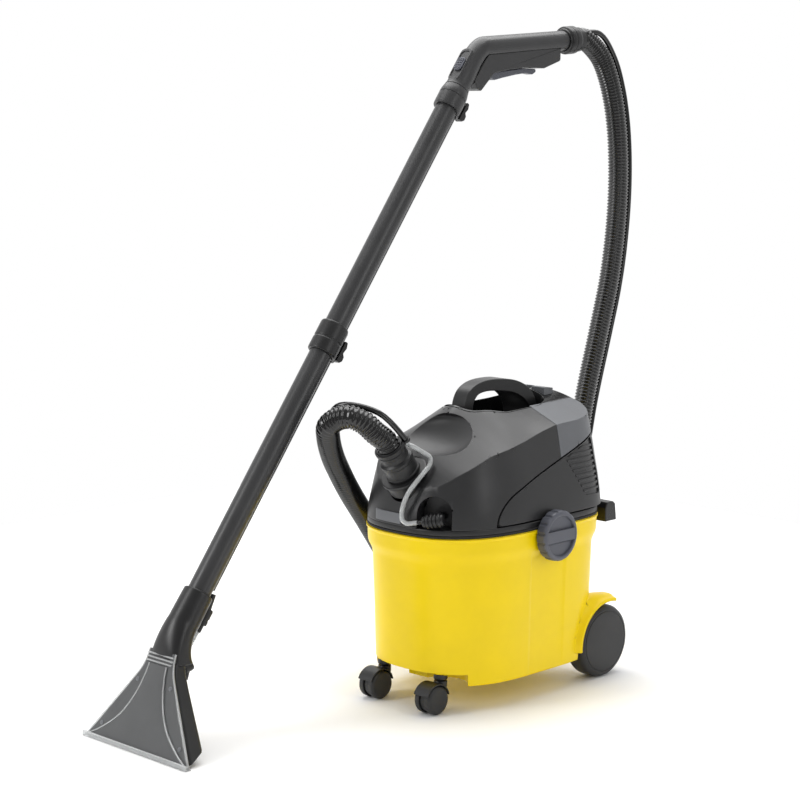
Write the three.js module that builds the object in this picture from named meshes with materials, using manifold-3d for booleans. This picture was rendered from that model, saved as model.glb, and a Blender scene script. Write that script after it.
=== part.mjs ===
// Spot extractor: a wheeled container with a lift-off suction head, a fresh water tank, and a wand
// that stands on its floor nozzle beside it. Millimetres, +Z up, the container's front faces -Y.
import * as THREE from "three";
import { mergeVertices } from "three/addons/utils/BufferGeometryUtils.js";
import Module from "manifold-3d";

const wasm = await Module();
wasm.setup();

// ---------------------------------------------------------------- driving dimensions
const SHIFT = { x: 37.25, y: 132.25 };    // moves the machine's own middle so that the origin is centred
const GAP = 0.3;                        // clearance between pieces that touch
const SLIVER = 0.06;                     // faces thinner than this are merged away
const SIDES = [["left", -1], ["right", 1]];

const RIM = { z: 268, half: 134, front: -198, rear: 160, middle: -30 };
const WALL = 3;
const FRONT_ARCH = { y: -150, z: 58 };  // the underside steps up in front of this line
const BASE_Z = 40;

const WHEEL = { radius: 58, width: 36, outer: 121.4, y: 154 };
const AXLE_RADIUS = 4;
const WELL = { radius: 66, inner: 78 };
const FENDER = { thick: 5, outer: 129, from: 76, to: 174 };

const CASTER = { x: 59.5, y: -162, trail: 20, radius: 22, disc: 11, web: 5, swing: 42 };
const KNOB = { y: 6, z: 256, radius: 39, thick: 17.6, inner: 134.9 };

const HEAD_Z = 281.3;
const PORT = { y: -178, z: 355, tilt: THREE.MathUtils.degToRad(36), outer: 33, bore: 25.6 };
const CORE = { half: 71.4, rear: 117.4, wall: 3 };   // motor bay, which the tank wraps round
const COUPLING = { x: 63, y: -180, z: 303, radius: 27, turn: THREE.MathUtils.degToRad(21) };
const POCKET = { half: 33, front: -46, rear: 88, floor: 414 };

const WAND = { x: -110, lip: 117, foot: -607 };
const WAND_DIR = new THREE.Vector3(0, 0.5991, 0.8007);
const WAND_ZERO = new THREE.Vector3(WAND.x, -644.5, 0);   // where the tube's axis meets the floor
const TUBE_RADIUS = 17.5;
const HOSE_RADIUS = 18;
const SPRAY_HOSE_RADIUS = 4.5;

// ---------------------------------------------------------------- colours
const skin = (color, roughness, metalness = 0) =>
  new THREE.MeshStandardMaterial({ color, roughness, metalness });
const YELLOW = () => skin(0xf2d800, 0.4);
const BLACK = () => skin(0x2b2b2d, 0.5);
const HEAD_GREY = () => skin(0x3a3a3c, 0.45);
const PANEL_GREY = () => skin(0x6e7074, 0.5);
const KNOB_GREY = () => skin(0x5f6167, 0.5);
const HOSE_BLACK = () => skin(0x141414, 0.3);
const CLEAR = () => skin(0xd8dcdc, 0.15);
const STEEL = () => skin(0xb8babd, 0.3, 1);
const WHITE = () => skin(0xe6e6e2, 0.5);

// ---------------------------------------------------------------- solids
const V = (x, y, z) => new THREE.Vector3(x, y, z);

function signedVolume(geometry) {
  const p = geometry.attributes.position, index = geometry.index.array;
  const a = V(0, 0, 0), b = V(0, 0, 0), c = V(0, 0, 0);
  let sum = 0;
  for (let i = 0; i < index.length; i += 3) {
    a.fromBufferAttribute(p, index[i]);
    b.fromBufferAttribute(p, index[i + 1]);
    c.fromBufferAttribute(p, index[i + 2]);
    sum += a.dot(b.cross(c)) / 6;
  }
  return sum;
}

// Any closed geometry as a solid, with its faces turned outwards.
function solid(geometry) {
  const bare = geometry.clone();
  bare.deleteAttribute("normal");
  bare.deleteAttribute("uv");
  const merged = mergeVertices(bare, 1e-3);
  const tri = new Uint32Array(merged.index.array);
  if (signedVolume(merged) < 0) {
    for (let i = 0; i < tri.length; i += 3) [tri[i + 1], tri[i + 2]] = [tri[i + 2], tri[i + 1]];
  }
  const vertProperties = new Float32Array(merged.attributes.position.array);
  return new wasm.Manifold(new wasm.Mesh({ numProp: 3, vertProperties, triVerts: tri }));
}

function toGeometry(body) {
  const mesh = body.getMesh();
  const geometry = new THREE.BufferGeometry();
  geometry.setAttribute("position", new THREE.BufferAttribute(mesh.vertProperties, 3));
  geometry.setIndex(new THREE.BufferAttribute(mesh.triVerts, 1));
  return geometry;
}

const join = (...bodies) => bodies.reduce((a, b) => a.add(b));
const cut = (body, ...tools) => tools.reduce((a, b) => a.subtract(b), body);

function box(x0, x1, y0, y1, z0, z1) {
  const g = new THREE.BoxGeometry(x1 - x0, y1 - y0, z1 - z0);
  return solid(g.translate((x0 + x1) / 2, (y0 + y1) / 2, (z0 + z1) / 2));
}

// A cylinder or cone from one point to another.
function rod(from, to, radius, end = radius, sides = 24) {
  const g = new THREE.CylinderGeometry(end, radius, from.distanceTo(to), sides);
  const turn = new THREE.Quaternion().setFromUnitVectors(V(0, 1, 0), to.clone().sub(from).normalize());
  const middle = from.clone().add(to).multiplyScalar(0.5);
  return solid(g.applyQuaternion(turn).translate(middle.x, middle.y, middle.z));
}

// A turned solid: the profile is [radius, distance] pairs, along the axis from a point.
function turned(profile, from, axis, sides = 32) {
  const g = new THREE.LatheGeometry(profile.map(([r, h]) => new THREE.Vector2(r, h)), sides);
  const turn = new THREE.Quaternion().setFromUnitVectors(V(0, 1, 0), axis.clone().normalize());
  return solid(g.applyQuaternion(turn).translate(from.x, from.y, from.z));
}

const collar = (inner, outer, from, to, sides = 32) =>
  turned([[inner, 0], [outer, 0], [outer, from.distanceTo(to)], [inner, from.distanceTo(to)], [inner, 0]],
    from, to.clone().sub(from), sides);

// An outline in (y, z) pushed along X.
function alongX(points, x0, x1) {
  const shape = new THREE.Shape(points.map(([y, z]) => new THREE.Vector2(y, z)));
  const g = new THREE.ExtrudeGeometry(shape, { depth: x1 - x0, bevelEnabled: false });
  g.applyMatrix4(new THREE.Matrix4().makeBasis(V(0, 1, 0), V(0, 0, 1), V(1, 0, 0)));
  return solid(g.translate(x0, 0, 0));
}

// Stacked rings of the same count, closed by a fan at each end.
function loft(rings) {
  const n = rings[0].length, position = [], index = [];
  for (const ring of rings) for (const p of ring) position.push(p.x, p.y, p.z);
  for (let k = 0; k < rings.length - 1; k++) {
    for (let i = 0; i < n; i++) {
      const a = k * n + i, b = k * n + (i + 1) % n;
      index.push(a, b, b + n, a, b + n, a + n);
    }
  }
  for (const k of [0, rings.length - 1]) {
    const hub = rings[k].reduce((sum, p) => sum.add(p), V(0, 0, 0)).divideScalar(n);
    const m = position.length / 3;
    position.push(hub.x, hub.y, hub.z);
    for (let i = 0; i < n; i++) {
      const a = k * n + i, b = k * n + (i + 1) % n;
      if (k === 0) index.push(m, b, a);
      else index.push(m, a, b);
    }
  }
  const g = new THREE.BufferGeometry();
  g.setAttribute("position", new THREE.Float32BufferAttribute(position, 3));
  g.setIndex(index);
  return solid(g);
}

const signed = (value, power) => Math.sign(value) * Math.abs(value) ** power;

// A rounded outline at one height: a blunt oval in front of its widest line, squarer behind it.
function ring({ z, half, front, rear, middle, bluntFront, bluntRear }, inset = 0, count = 32) {
  const points = [];
  for (let i = 0; i < count; i++) {
    const t = 2 * Math.PI * i / count;
    const blunt = Math.sin(t) > 0 ? bluntRear : bluntFront;
    const reach = Math.sin(t) > 0 ? rear - inset - middle : middle - front - inset;
    points.push(V((half - inset) * signed(Math.cos(t), 2 / blunt),
      middle + reach * signed(Math.sin(t), 2 / blunt), z));
  }
  return points;
}

function tube(points, radius, sides, steps) {
  const section = new THREE.Shape();
  for (let i = 0; i < sides; i++) {
    const t = 2 * Math.PI * i / sides;
    if (i === 0) section.moveTo(radius, 0);
    else section.lineTo(radius * Math.cos(t), radius * Math.sin(t));
  }
  const extrudePath = new THREE.CatmullRomCurve3(points, false, "centripetal");
  return solid(new THREE.ExtrudeGeometry(section, { extrudePath, steps, curveSegments: 1 }));
}

const machine = new THREE.Group();
machine.position.set(SHIFT.x, SHIFT.y, 0);

// One mesh of the assembly; slivers left by the cuts are dropped.
function piece(name, body, material) {
  const whole = body.decompose().reduce((a, b) => (a.volume() > b.volume() ? a : b));
  const mesh = new THREE.Mesh(toGeometry(whole.simplify(SLIVER)), material);
  mesh.name = name;
  machine.add(mesh);
}

// ---------------------------------------------------------------- container
// Height and share of the rim's size: draft below, and a swollen band under the rim.
const CONTAINER_LEVELS = [[40, 0.915], [60, 0.92], [137, 0.93], [215, 0.945], [228, 0.955],
  [240, 0.985], [252, 0.988], [268, 1]];
const containerRing = ([z, share], inset) => ring({
  z, half: RIM.half * share, front: RIM.front * share, rear: RIM.rear * share,
  middle: RIM.middle, bluntFront: 2.56, bluntRear: 5,
}, inset);

// Wheel wells and the slot for the axle, larger by a margin.
function wells(margin) {
  const parts = [box(-100, 100, 126 - margin, 240, 20, 80 + margin)];
  for (const [, s] of SIDES) {
    const x = [s * (WELL.inner - margin), s * 170].sort((a, b) => a - b);
    const r = WELL.radius + margin;
    parts.push(rod(V(x[0], WHEEL.y, WHEEL.radius), V(x[1], WHEEL.y, WHEEL.radius), r, r, 28));
    parts.push(box(x[0], x[1], WHEEL.y - r, 240, 10, WHEEL.radius));
    parts.push(box(x[0], x[1], WHEEL.y, 240, 10, WHEEL.radius + r));
  }
  return join(...parts);
}

function fender(s) {
  const points = [];
  const outer = WELL.radius + FENDER.thick, arcs = 8;
  for (const [r, from, to] of [[WELL.radius, FENDER.from, FENDER.to], [outer, FENDER.to, FENDER.from]]) {
    for (let i = 0; i <= arcs; i++) {
      const t = THREE.MathUtils.degToRad(from + (to - from) * i / arcs);
      points.push([WHEEL.y + r * Math.cos(t), WHEEL.radius + r * Math.sin(t)]);
    }
  }
  const x = [s * 70, s * FENDER.outer].sort((a, b) => a - b);
  return alongX(points, x[0], x[1]);
}

// The step under the front, and the round room in which each caster swings.
function frontRecess(margin) {
  const top = FRONT_ARCH.z + margin;
  const rooms = SIDES.map(([, s]) => rod(V(s * CASTER.x, CASTER.y, 0), V(s * CASTER.x, CASTER.y, top),
    CASTER.swing + margin, CASTER.swing + margin, 28));
  return join(box(-200, 200, -300, FRONT_ARCH.y + margin, 0, top), ...rooms);
}

function container() {
  const outer = loft(CONTAINER_LEVELS.map((level) => containerRing(level, 0)));
  const inside = [[BASE_Z + WALL + 1, 0.917], [137, 0.93], [228, 0.955], [252, 0.986], [280, 1]];
  let hollow = loft(inside.map((level) => containerRing(level, WALL)));
  hollow = cut(hollow, wells(WALL + 1.5), frontRecess(WALL));
  let body = cut(outer, wells(0), frontRecess(0));
  body = join(body, fender(-1), fender(1));
  body = cut(body, hollow);
  for (const [, s] of SIDES) {
    body = join(body, box(s * 70 - 4, s * 70 + 4, 118, 168, 46, 86));
    const hub = (x) => V(s * x, WHEEL.y, WHEEL.radius);
    body = cut(body, rod(hub(60), hub(80), AXLE_RADIUS + GAP));
    const socket = V(s * CASTER.x, CASTER.y, 0);
    body = join(body, rod(socket.clone().setZ(FRONT_ARCH.z), socket.clone().setZ(90), 13));
    body = cut(body, rod(socket.clone().setZ(50), socket.clone().setZ(86), 9 + GAP));
    body = cut(body, rod(V(s * 105, KNOB.y, KNOB.z), V(s * 150, KNOB.y, KNOB.z), 7 + GAP));
  }
  return body;
}
piece("container", container(), YELLOW());

function rearBracket() {
  const rail = alongX([[160.6, 279], [183, 268], [189, 250], [160.6, 250]], -112, 112);
  const hollow = alongX([[166, 240], [166, 270], [180, 263], [184, 240]], -102, 102);
  return cut(rail, hollow);
}
piece("rear_bracket", rearBracket(), BLACK());

// ---------------------------------------------------------------- rear wheels
const axleEnd = WHEEL.outer - 8.5;
piece("rear_axle", rod(V(-axleEnd, WHEEL.y, WHEEL.radius), V(axleEnd, WHEEL.y, WHEEL.radius), AXLE_RADIUS),
  STEEL());
for (const [side, s] of SIDES) {
  const w = WHEEL.width, r = WHEEL.radius, bore = AXLE_RADIUS + 0.08;
  const profile = [[0, w], [50, w], [55, w - 2], [r, w - 7], [r, 5], [r - 4, 0], [48, 0], [45, 8],
    [16, 8], [14, 0], [bore, 0], [bore, w - 8], [0, w - 8]];
  const inner = V(s * (WHEEL.outer - w), WHEEL.y, WHEEL.radius);
  piece(`rear_wheel_${side}`, turned(profile, inner, V(s, 0, 0), 28), BLACK());
}

// ---------------------------------------------------------------- twin-wheel casters
for (const [side, s] of SIDES) {
  const x = s * CASTER.x, axleY = CASTER.y - CASTER.trail, r = CASTER.radius;
  const at = (z) => V(x, CASTER.y, z);
  piece(`caster_socket_${side}`, cut(join(rod(at(53), at(85.5), 9), rod(at(50), at(57.6), 10.5)),
    rod(at(40), at(83), 5 + 0.08)), BLACK());
  const web = rod(V(x - CASTER.web, axleY, r), V(x + CASTER.web, axleY, r), r - 3);
  const arm = box(x - 8, x + 8, axleY + 4, CASTER.y + 8, r + 3.5, 46.5);
  const hoodArc = [];
  for (const [radius, from, to] of [[r + 1, 20, 150], [r + 3.2, 150, 20]]) {
    for (let i = 0; i <= 8; i++) {
      const t = THREE.MathUtils.degToRad(from + (to - from) * i / 8);
      hoodArc.push([axleY + radius * Math.cos(t), r + radius * Math.sin(t)]);
    }
  }
  const fork = join(web, cut(arm, rod(V(x - 20, axleY, r), V(x + 20, axleY, r), r + 1)),
    alongX(hoodArc, x - 15, x + 15), box(x - CASTER.web, x + CASTER.web, axleY - 6, axleY + 6, r, r + 3),
    box(x - CASTER.web, x + CASTER.web, axleY + 2, axleY + r, r + 4, r + 14), rod(at(42), at(82.5), 5));
  piece(`caster_fork_${side}`, cut(fork, rod(V(x - 20, axleY, r), V(x + 20, axleY, r), 3 + GAP)), BLACK());
  const pinEnd = CASTER.web + CASTER.disc - 3;
  piece(`caster_axle_${side}`, rod(V(x - pinEnd, axleY, r), V(x + pinEnd, axleY, r), 3), STEEL());
  for (const [edge, e] of [["inner", -s], ["outer", s]]) {
    const d = CASTER.disc;
    const profile = [[0, d], [16, d], [20, d - 1.2], [r, d - 3.5], [r, 1.5], [20.5, 0], [3.08, 0],
      [3.08, d - 2.6], [0, d - 2.6]];
    const inner = V(x + e * (CASTER.web + 0.5), axleY, r);
    piece(`caster_wheel_${side}_${edge}`, turned(profile, inner, V(e, 0, 0), 20), BLACK());
  }
}

// ---------------------------------------------------------------- turning locks
for (const [side, s] of SIDES) {
  const along = V(s, 0, 0), t = KNOB.thick, r = KNOB.radius;
  const start = V(s * KNOB.inner, KNOB.y, KNOB.z);
  let knob = turned([[0, 0], [r, 0], [r, t - 4], [r - 3.5, t], [r - 6, t], [r - 7, t - 6], [0, t - 6]],
    start, along, 28);
  const grip = [s * (KNOB.inner + t - 7), s * (KNOB.inner + t)].sort((a, b) => a - b);
  knob = join(knob, box(grip[0], grip[1], KNOB.y - r + 5, KNOB.y + r - 5, KNOB.z - 8, KNOB.z + 8));
  for (let i = 0; i < 12; i++) {
    const a = Math.PI * (i + 0.5) / 6;
    const notch = (x) => V(s * x, KNOB.y + (r + 2) * Math.cos(a), KNOB.z + (r + 2) * Math.sin(a));
    knob = cut(knob, rod(notch(130), notch(160), 4, 4, 8));
  }
  const shaft = rod(V(s * 123.5, KNOB.y, KNOB.z), V(s * (KNOB.inner + 1), KNOB.y, KNOB.z), 7);
  piece(`lock_knob_${side}`, join(knob, shaft), KNOB_GREY());
  const cam = join(rod(V(s * 117, KNOB.y, KNOB.z), V(s * 123.2, KNOB.y, KNOB.z), 10),
    box(...[s * 117, s * 123.2].sort((a, b) => a - b), KNOB.y - 4, KNOB.y + 24, KNOB.z - 5, KNOB.z + 5));
  piece(`lock_cam_${side}`, cam, WHITE());
}

// ---------------------------------------------------------------- suction head
// Height, half width, front, rear, widest line and the bluntness of the front at each level.
const HEAD_LEVELS = [[HEAD_Z, 131, -197, 163, -30, 2.56], [300, 129.5, -196, 162, -30, 2.6],
  [318, 127.5, -193, 161, -30, 2.6], [335, 125.5, -187, 160, -30, 2.6], [355, 122.5, -176, 159, -28, 2.6],
  [375, 119, -153, 158, -10, 2.6], [395, 114, -127, 156, 5, 2.7], [415, 107, -105, 153, 25, 2.8],
  [432, 97, -86, 149, 45, 2.9], [443, 85, -68, 144, 58, 3], [450, 71, -50, 137, 64, 3],
  [453.5, 55, -30, 127, 64, 3]];
const headRing = ([z, half, front, rear, middle, bluntFront], inset = 0, drop = 0) =>
  ring({ z: z - drop, half, front, rear, middle, bluntFront, bluntRear: 6 }, inset);
const headBulk = loft(HEAD_LEVELS.map((level) => headRing(level)));
// The inner skin takes every other level: the head is convex, so its wall only gets thicker between.
const INNER_LEVELS = HEAD_LEVELS.filter((_, i) => i % 2 === 0 || i > 9);
const headInside = loft([headRing([200, ...HEAD_LEVELS[0].slice(1)], WALL),
  ...INNER_LEVELS.map((level) => headRing(level, WALL, 2.6))]);

// The tank's seam on the side of the head: up steeply in front, then rising gently to the rear.
const SEAM = [[-107, 281], [-105, 292], [-99, 303], [-88, 314.5], [-74, 324], [-52, 333.5], [-20, 345.5],
  [44, 366], [126, 391], [210, 416]];
function tankRegion(margin) {
  const edge = SEAM.map(([y, z], i) => {
    const [ya, za] = SEAM[Math.max(i - 1, 0)], [yb, zb] = SEAM[Math.min(i + 1, SEAM.length - 1)];
    const length = Math.hypot(yb - ya, zb - za);
    return [y - margin * (zb - za) / length, z + margin * (yb - ya) / length];
  });
  const base = HEAD_Z + GAP - margin;
  edge[0][1] = base;
  return alongX([...edge, [210, base]], -170, 170);
}
const core = (margin) => box(-CORE.half - margin, CORE.half + margin, -260, CORE.rear + margin, 200, 460);

function pocketBlock(margin) {
  const { half, front, rear, floor } = POCKET;
  const wide = half + margin, bottom = floor - margin, step = 12;
  return join(box(-wide, wide, front + step - margin, rear - step + margin, bottom, 500),
    box(step - wide, wide - step, front - margin, rear + margin, bottom, 500));
}

const portAxis = V(0, -Math.sin(PORT.tilt), Math.cos(PORT.tilt));
const portAt = (distance) => V(0, PORT.y, PORT.z).addScaledVector(portAxis, distance);

const COUPLING_AXIS = V(38, 19, 7).normalize();
const couplingAt = (distance) => V(43, -194.5, 290.5).addScaledVector(COUPLING_AXIS, distance);
function couplingBay(margin) {
  const out = V(Math.sin(COUPLING.turn), -Math.cos(COUPLING.turn), 0);
  const centre = V(COUPLING.x, COUPLING.y, COUPLING.z), r = COUPLING.radius + margin;
  const along = (distance) => centre.clone().addScaledVector(out, distance);
  const arch = rod(along(-27 - margin), along(30), r);
  const foot = new THREE.BoxGeometry(2 * r, 57 + margin, 60);
  foot.translate(0, -1.5 + margin / 2, -30).rotateZ(COUPLING.turn).translate(centre.x, centre.y, centre.z);
  return join(arch, solid(foot));
}

function scoop(margin) {
  const g = new THREE.SphereGeometry(1, 28, 16);
  g.scale(56 + margin, 33 + margin, 20 + margin).rotateX(THREE.MathUtils.degToRad(38));
  return solid(g.translate(4, -96, 424));
}

const panelBlock = (margin) => box(50 - margin, 170, 52 - margin, 200, 300, 500);
const SWITCH = { x: 19, y: 112, wide: 26, deep: 22 };
function buttonHole(s, margin) {
  const wide = SWITCH.wide / 2 + margin, deep = SWITCH.deep / 2 + margin;
  return box(s * SWITCH.x - wide, s * SWITCH.x + wide, SWITCH.y - deep, SWITCH.y + deep, 440, 470);
}

const headWall = cut(cut(headBulk, headInside), tankRegion(GAP));
const headDeep = loft([headRing([200, ...HEAD_LEVELS[0].slice(1)], WALL + GAP),
  ...INNER_LEVELS.map((level) => headRing(level, WALL + GAP, 3))]);
const panelSkin = cut(headBulk.intersect(panelBlock(GAP)), headDeep, core(0));
function headShell() {
  const bayOuter = cut(headBulk.intersect(core(0)), box(-170, 170, -260, -104, 200, 460));
  const bayInner = core(-CORE.wall).intersect(headInside);
  const bay = cut(bayOuter, bayInner);
  const ceiling = cut(tankRegion(GAP + WALL).intersect(headBulk), tankRegion(GAP), core(-CORE.wall));
  const liners = [pocketBlock(2.5), couplingBay(2.5), scoop(2.5), rod(portAt(-20), portAt(6), PORT.outer + 3)]
    .map((liner) => liner.intersect(headBulk));
  let body = join(headWall, bay, ceiling, ...liners);
  const below = tankRegion(GAP).subtract(core(0));
  body = cut(body, panelSkin, pocketBlock(0), couplingBay(0), scoop(0), below,
    rod(portAt(-60), portAt(40), PORT.outer + GAP, PORT.outer + GAP, 32),
    rod(couplingAt(-16), couplingAt(6), 6.5, 6.5, 12));
  for (const [, s] of SIDES) body = cut(body, buttonHole(s, GAP));
  return body;
}
piece("head_shell", headShell(), HEAD_GREY());
piece("control_panel", cut(headWall.intersect(panelBlock(0)), core(GAP)), PANEL_GREY());

function headBase() {
  const plateRing = (z, inset) => ring({ z, half: 132, front: -196.5, rear: 160, middle: -30,
    bluntFront: 2.56, bluntRear: 5 }, inset);
  const plate = loft([plateRing(272.4, 0), plateRing(277, 0), plateRing(HEAD_Z - GAP, 1.5)]);
  const skirt = cut(loft([plateRing(246, 25), plateRing(273, 24)]),
    loft([plateRing(240, 28), plateRing(272.4, 28)]));
  return cut(join(plate, skirt), rod(V(0, -148, 230), V(0, -148, 300), 27),
    rod(V(0, 20, 230), V(0, 20, 300), 34), rod(V(0, -60, 230), V(0, -60, 300), 8));
}
piece("head_base", headBase(), BLACK());

const gasketRing = (z, inset) => ring({ z, half: 133, front: -197, rear: 159, middle: -30,
  bluntFront: 2.56, bluntRear: 5 }, inset);
piece("rim_gasket", cut(loft([gasketRing(268.3, 0), gasketRing(272.1, 0)]),
  loft([gasketRing(260, 4), gasketRing(280, 4)])), HOSE_BLACK());

function carryingHandle() {
  const bar = alongX([[-82, 425], [-80, 452], [-72, 467], [-58, 478], [-32, 483], [28, 480.5],
    [48, 474], [66, 461], [80, 442], [86.5, 425], [86.5, 414.3], [70, 414.3], [66, 432], [54, 449],
    [40, 459.5], [24, 464], [-30, 466], [-48, 461], [-54, 450], [-54, 425]], -14, 14);
  const grown = loft(HEAD_LEVELS.map((level) => headRing(level, -GAP, -GAP)));
  return cut(bar, cut(grown, pocketBlock(0)));
}
piece("carrying_handle", carryingHandle(), BLACK());

for (const [side, s] of SIDES) {
  const wide = SWITCH.wide / 2, deep = SWITCH.deep / 2, x = s * SWITCH.x;
  piece(`switch_${side}`, join(box(x - wide, x + wide, SWITCH.y - deep, SWITCH.y + deep, 446, 455),
    box(x - wide + 2, x + wide - 2, SWITCH.y - deep + 2, SWITCH.y + deep - 2, 454, 457)), PANEL_GREY());
}

piece("port_collar", collar(PORT.bore, PORT.outer, portAt(-18), portAt(5)), BLACK());

function sprayCoupling() {
  const profile = [[0, 0], [3.2, 0], [4.4, 5], [4, 8], [8.6, 9], [8.6, 14]];
  for (let i = 0; i < 4; i++) {
    const rib = 15 + 6 * i;
    profile.push([11, rib], [11, rib + 3], [9.8, rib + 4], [9.8, rib + 5]);
  }
  profile.push([8, 41], [0, 41]);
  const root = couplingAt(24);
  const stem = rod(root, root.clone().add(V(-4, 27, 4)), 6, 6, 12);
  const plug = turned(profile, couplingAt(0), COUPLING_AXIS, 18);
  return cut(join(plug, stem), cut(headBulk, couplingBay(-GAP)));
}
piece("spray_coupling", sprayCoupling(), BLACK());

function labelPlate() {
  const band = (inset) => loft([284, 300].map((z) => ring({ z, half: 131, front: -197, rear: 163,
    middle: -30, bluntFront: 2.56, bluntRear: 6 }, inset, 96)));
  return cut(band(-1.6), band(-0.5)).intersect(box(-46, 10, -260, -100, 280, 310));
}
piece("label_plate", labelPlate(), PANEL_GREY());

// ---------------------------------------------------------------- fresh water tank
function freshWaterTank() {
  const outside = cut(headBulk.intersect(tankRegion(0)), core(0.6));
  const wall = 3.5;
  const inner = loft([headRing([285.2, ...HEAD_LEVELS[0].slice(1)], wall),
    ...INNER_LEVELS.slice(1).map((level) => headRing(level, wall))]);
  const hollow = cut(inner.intersect(tankRegion(-wall)), core(0.6 + wall));
  return cut(outside, hollow, rod(V(0, 139, 340), V(0, 139, 430), 14));
}
piece("fresh_water_tank", freshWaterTank(), HEAD_GREY());

// ---------------------------------------------------------------- inside the head
const FAN = V(0, 20, 0);
const fanAt = (z) => FAN.clone().setZ(z);
piece("fan_housing", cut(join(rod(fanAt(290), fanAt(332), 60), rod(fanAt(332), fanAt(338), 60, 46)),
  rod(fanAt(296), fanAt(328), 57), rod(fanAt(280), fanAt(300), 24), rod(fanAt(320), fanAt(340), 30),
  box(40, 80, 14, 40, 300, 322)), BLACK());
piece("fan_impeller", turned([[0, 0], [54, 0], [54, 2], [20, 16], [20, 24], [6, 26], [6, 60], [0, 60]],
  fanAt(300), V(0, 0, 1), 24), skin(0xaab0b4, 0.4, 1));
piece("fan_motor", cut(join(rod(fanAt(362), fanAt(402), 42, 40), rod(fanAt(342), fanAt(362), 30)),
  rod(fanAt(340), fanAt(364), 9)), skin(0x8a8d90, 0.5, 1));
piece("spray_pump", join(box(-58, -22, -88, -50, 284, 320), rod(V(-40, -69, 320), V(-40, -69, 352), 15),
  rod(V(-22, -69, 300), V(-8, -69, 300), 6)), BLACK());
function intakeElbow() {
  const path = [V(0, -158, 312), V(0, -150, 296), V(0, -148, 280), V(0, -148, 262)];
  const outerBend = tube(path, 25.5, 14, 6);
  return cut(outerBend, tube([V(0, -160, 316), ...path, V(0, -148, 255)], 22, 14, 7));
}
piece("intake_elbow", intakeElbow(), BLACK());

const CAGE = { top: 281.4, bottom: 196, radius: 30 };
function floatCage() {
  let cage = cut(join(rod(fanAt(CAGE.bottom), fanAt(272), CAGE.radius, CAGE.radius, 18),
    rod(fanAt(264), fanAt(CAGE.top), 33.4)), rod(fanAt(CAGE.bottom + 4), fanAt(300), 26, 26, 18));
  for (let i = 0; i < 4; i++) {
    const slot = new THREE.BoxGeometry(80, 18, 46).rotateZ(Math.PI * i / 4);
    cage = cut(cage, solid(slot.translate(FAN.x, FAN.y, 228)));
  }
  return cage;
}
piece("float_cage", floatCage(), WHITE());
piece("float", turned([[0, 0], [16, 0], [23, 6], [23, 30], [16, 36], [0, 36]], fanAt(CAGE.bottom + 4.5),
  V(0, 0, 1), 24), skin(0xd97a1e, 0.5));

// ---------------------------------------------------------------- wand
const wandAt = (distance) => WAND_ZERO.clone().addScaledVector(WAND_DIR, distance);
// A point beside the tube's axis: back is towards the machine.
const BACK = V(0, 0.8007, -0.5991);
const beside = (distance, back) => wandAt(distance).addScaledVector(BACK, back);

// Height and half width of the floor nozzle's fan, which leans back from its lip.
const FAN_LEVELS = [[1.5, 115.5], [14, 106], [60, 71], [95, 44.5], [108, 35.5], [122, 30]];
const fanFront = (z) => WAND.foot + 0.38 * z;
const fanBack = (z) => WAND.foot + 24 + 0.47 * z;
function fanRing(z, half, y0, y1, blunt = 5) {
  const points = [];
  for (let i = 0; i < 24; i++) {
    const t = 2 * Math.PI * i / 24;
    points.push(V(WAND.x + half * signed(Math.cos(t), 2 / blunt),
      (y0 + y1) / 2 + (y1 - y0) / 2 * signed(Math.sin(t), 2 / blunt), z));
  }
  return points;
}
function nozzleBody() {
  const fan = loft([...FAN_LEVELS.map(([z, half]) => fanRing(z, half, fanFront(z) + 3.4, fanBack(z), 8)),
    fanRing(140, 24, -560, -518, 3)]);
  const neck = rod(wandAt(168), wandAt(262), 27, 22, 28);
  const mouth = alongX([[-625, -10], [-625, 0.5], [-604, 1.5], [-560, 20.5], [-560, -10]], -260, 40);
  const duct = loft([[-6, 108], [14, 88], [40, 52], [70, 31], [100, 19], [116, 15]].map(([z, half]) =>
    fanRing(z, half, fanFront(z) + 2, fanFront(z) + 18, 3)));
  const channel = join(duct, rod(V(WAND.x, -553, 108), wandAt(200), 14, 14, 16),
    rod(wandAt(170), wandAt(300), 14, 14, 16));
  const saddle = box(WAND.x - 9, WAND.x + 9, -545, -521, 90, 111);
  return cut(join(fan, neck, saddle), mouth, channel, rod(wandAt(236), wandAt(300), TUBE_RADIUS + GAP));
}
piece("nozzle_body", nozzleBody(), BLACK());

function nozzleCover() {
  const plate = loft(FAN_LEVELS.map(([z, half]) => fanRing(z, half, fanFront(z) + 0.4, fanFront(z) + 3)));
  const raised = loft([[4, 110], [14, 90], [40, 54], [70, 33], [100, 22], [118, 19]]
    .map(([z, half]) => fanRing(z, half, fanFront(z) - 2.2, fanFront(z) + 2.5, 4)));
  return join(plate, raised);
}
piece("nozzle_cover", nozzleCover(), CLEAR());

piece("nozzle_lip", join(box(WAND.x - WAND.lip, WAND.x + WAND.lip, -612, -608.3, 0, 7),
  box(WAND.x - WAND.lip, WAND.x + WAND.lip, -612, -602, 0, 1.1)), skin(0x8a8c90, 0.4));
piece("spray_jet", join(rod(V(WAND.x, -518.6, 101.7), V(WAND.x, -503, 104.5), 7, 6, 16),
  rod(V(WAND.x, -511, 103), V(WAND.x, -511, 113), 4.5, 4.5, 12),
  rod(V(WAND.x, -512, 101), V(WAND.x, -515.5, 86), 5, 4, 12)), BLACK());
const LINE_BACK = 31.5;
const VALVE_PROFILE = [[0, 0], [4.5, 0], [4.5, 12], [7.5, 13], [7.5, 35], [6.5, 36], [0, 36]];
piece("spray_valve", join(turned(VALVE_PROFILE, beside(214, LINE_BACK), WAND_DIR, 16),
  rod(beside(247, 31), beside(272, 26), 4.3, 4.3, 12)), BLACK());
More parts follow.
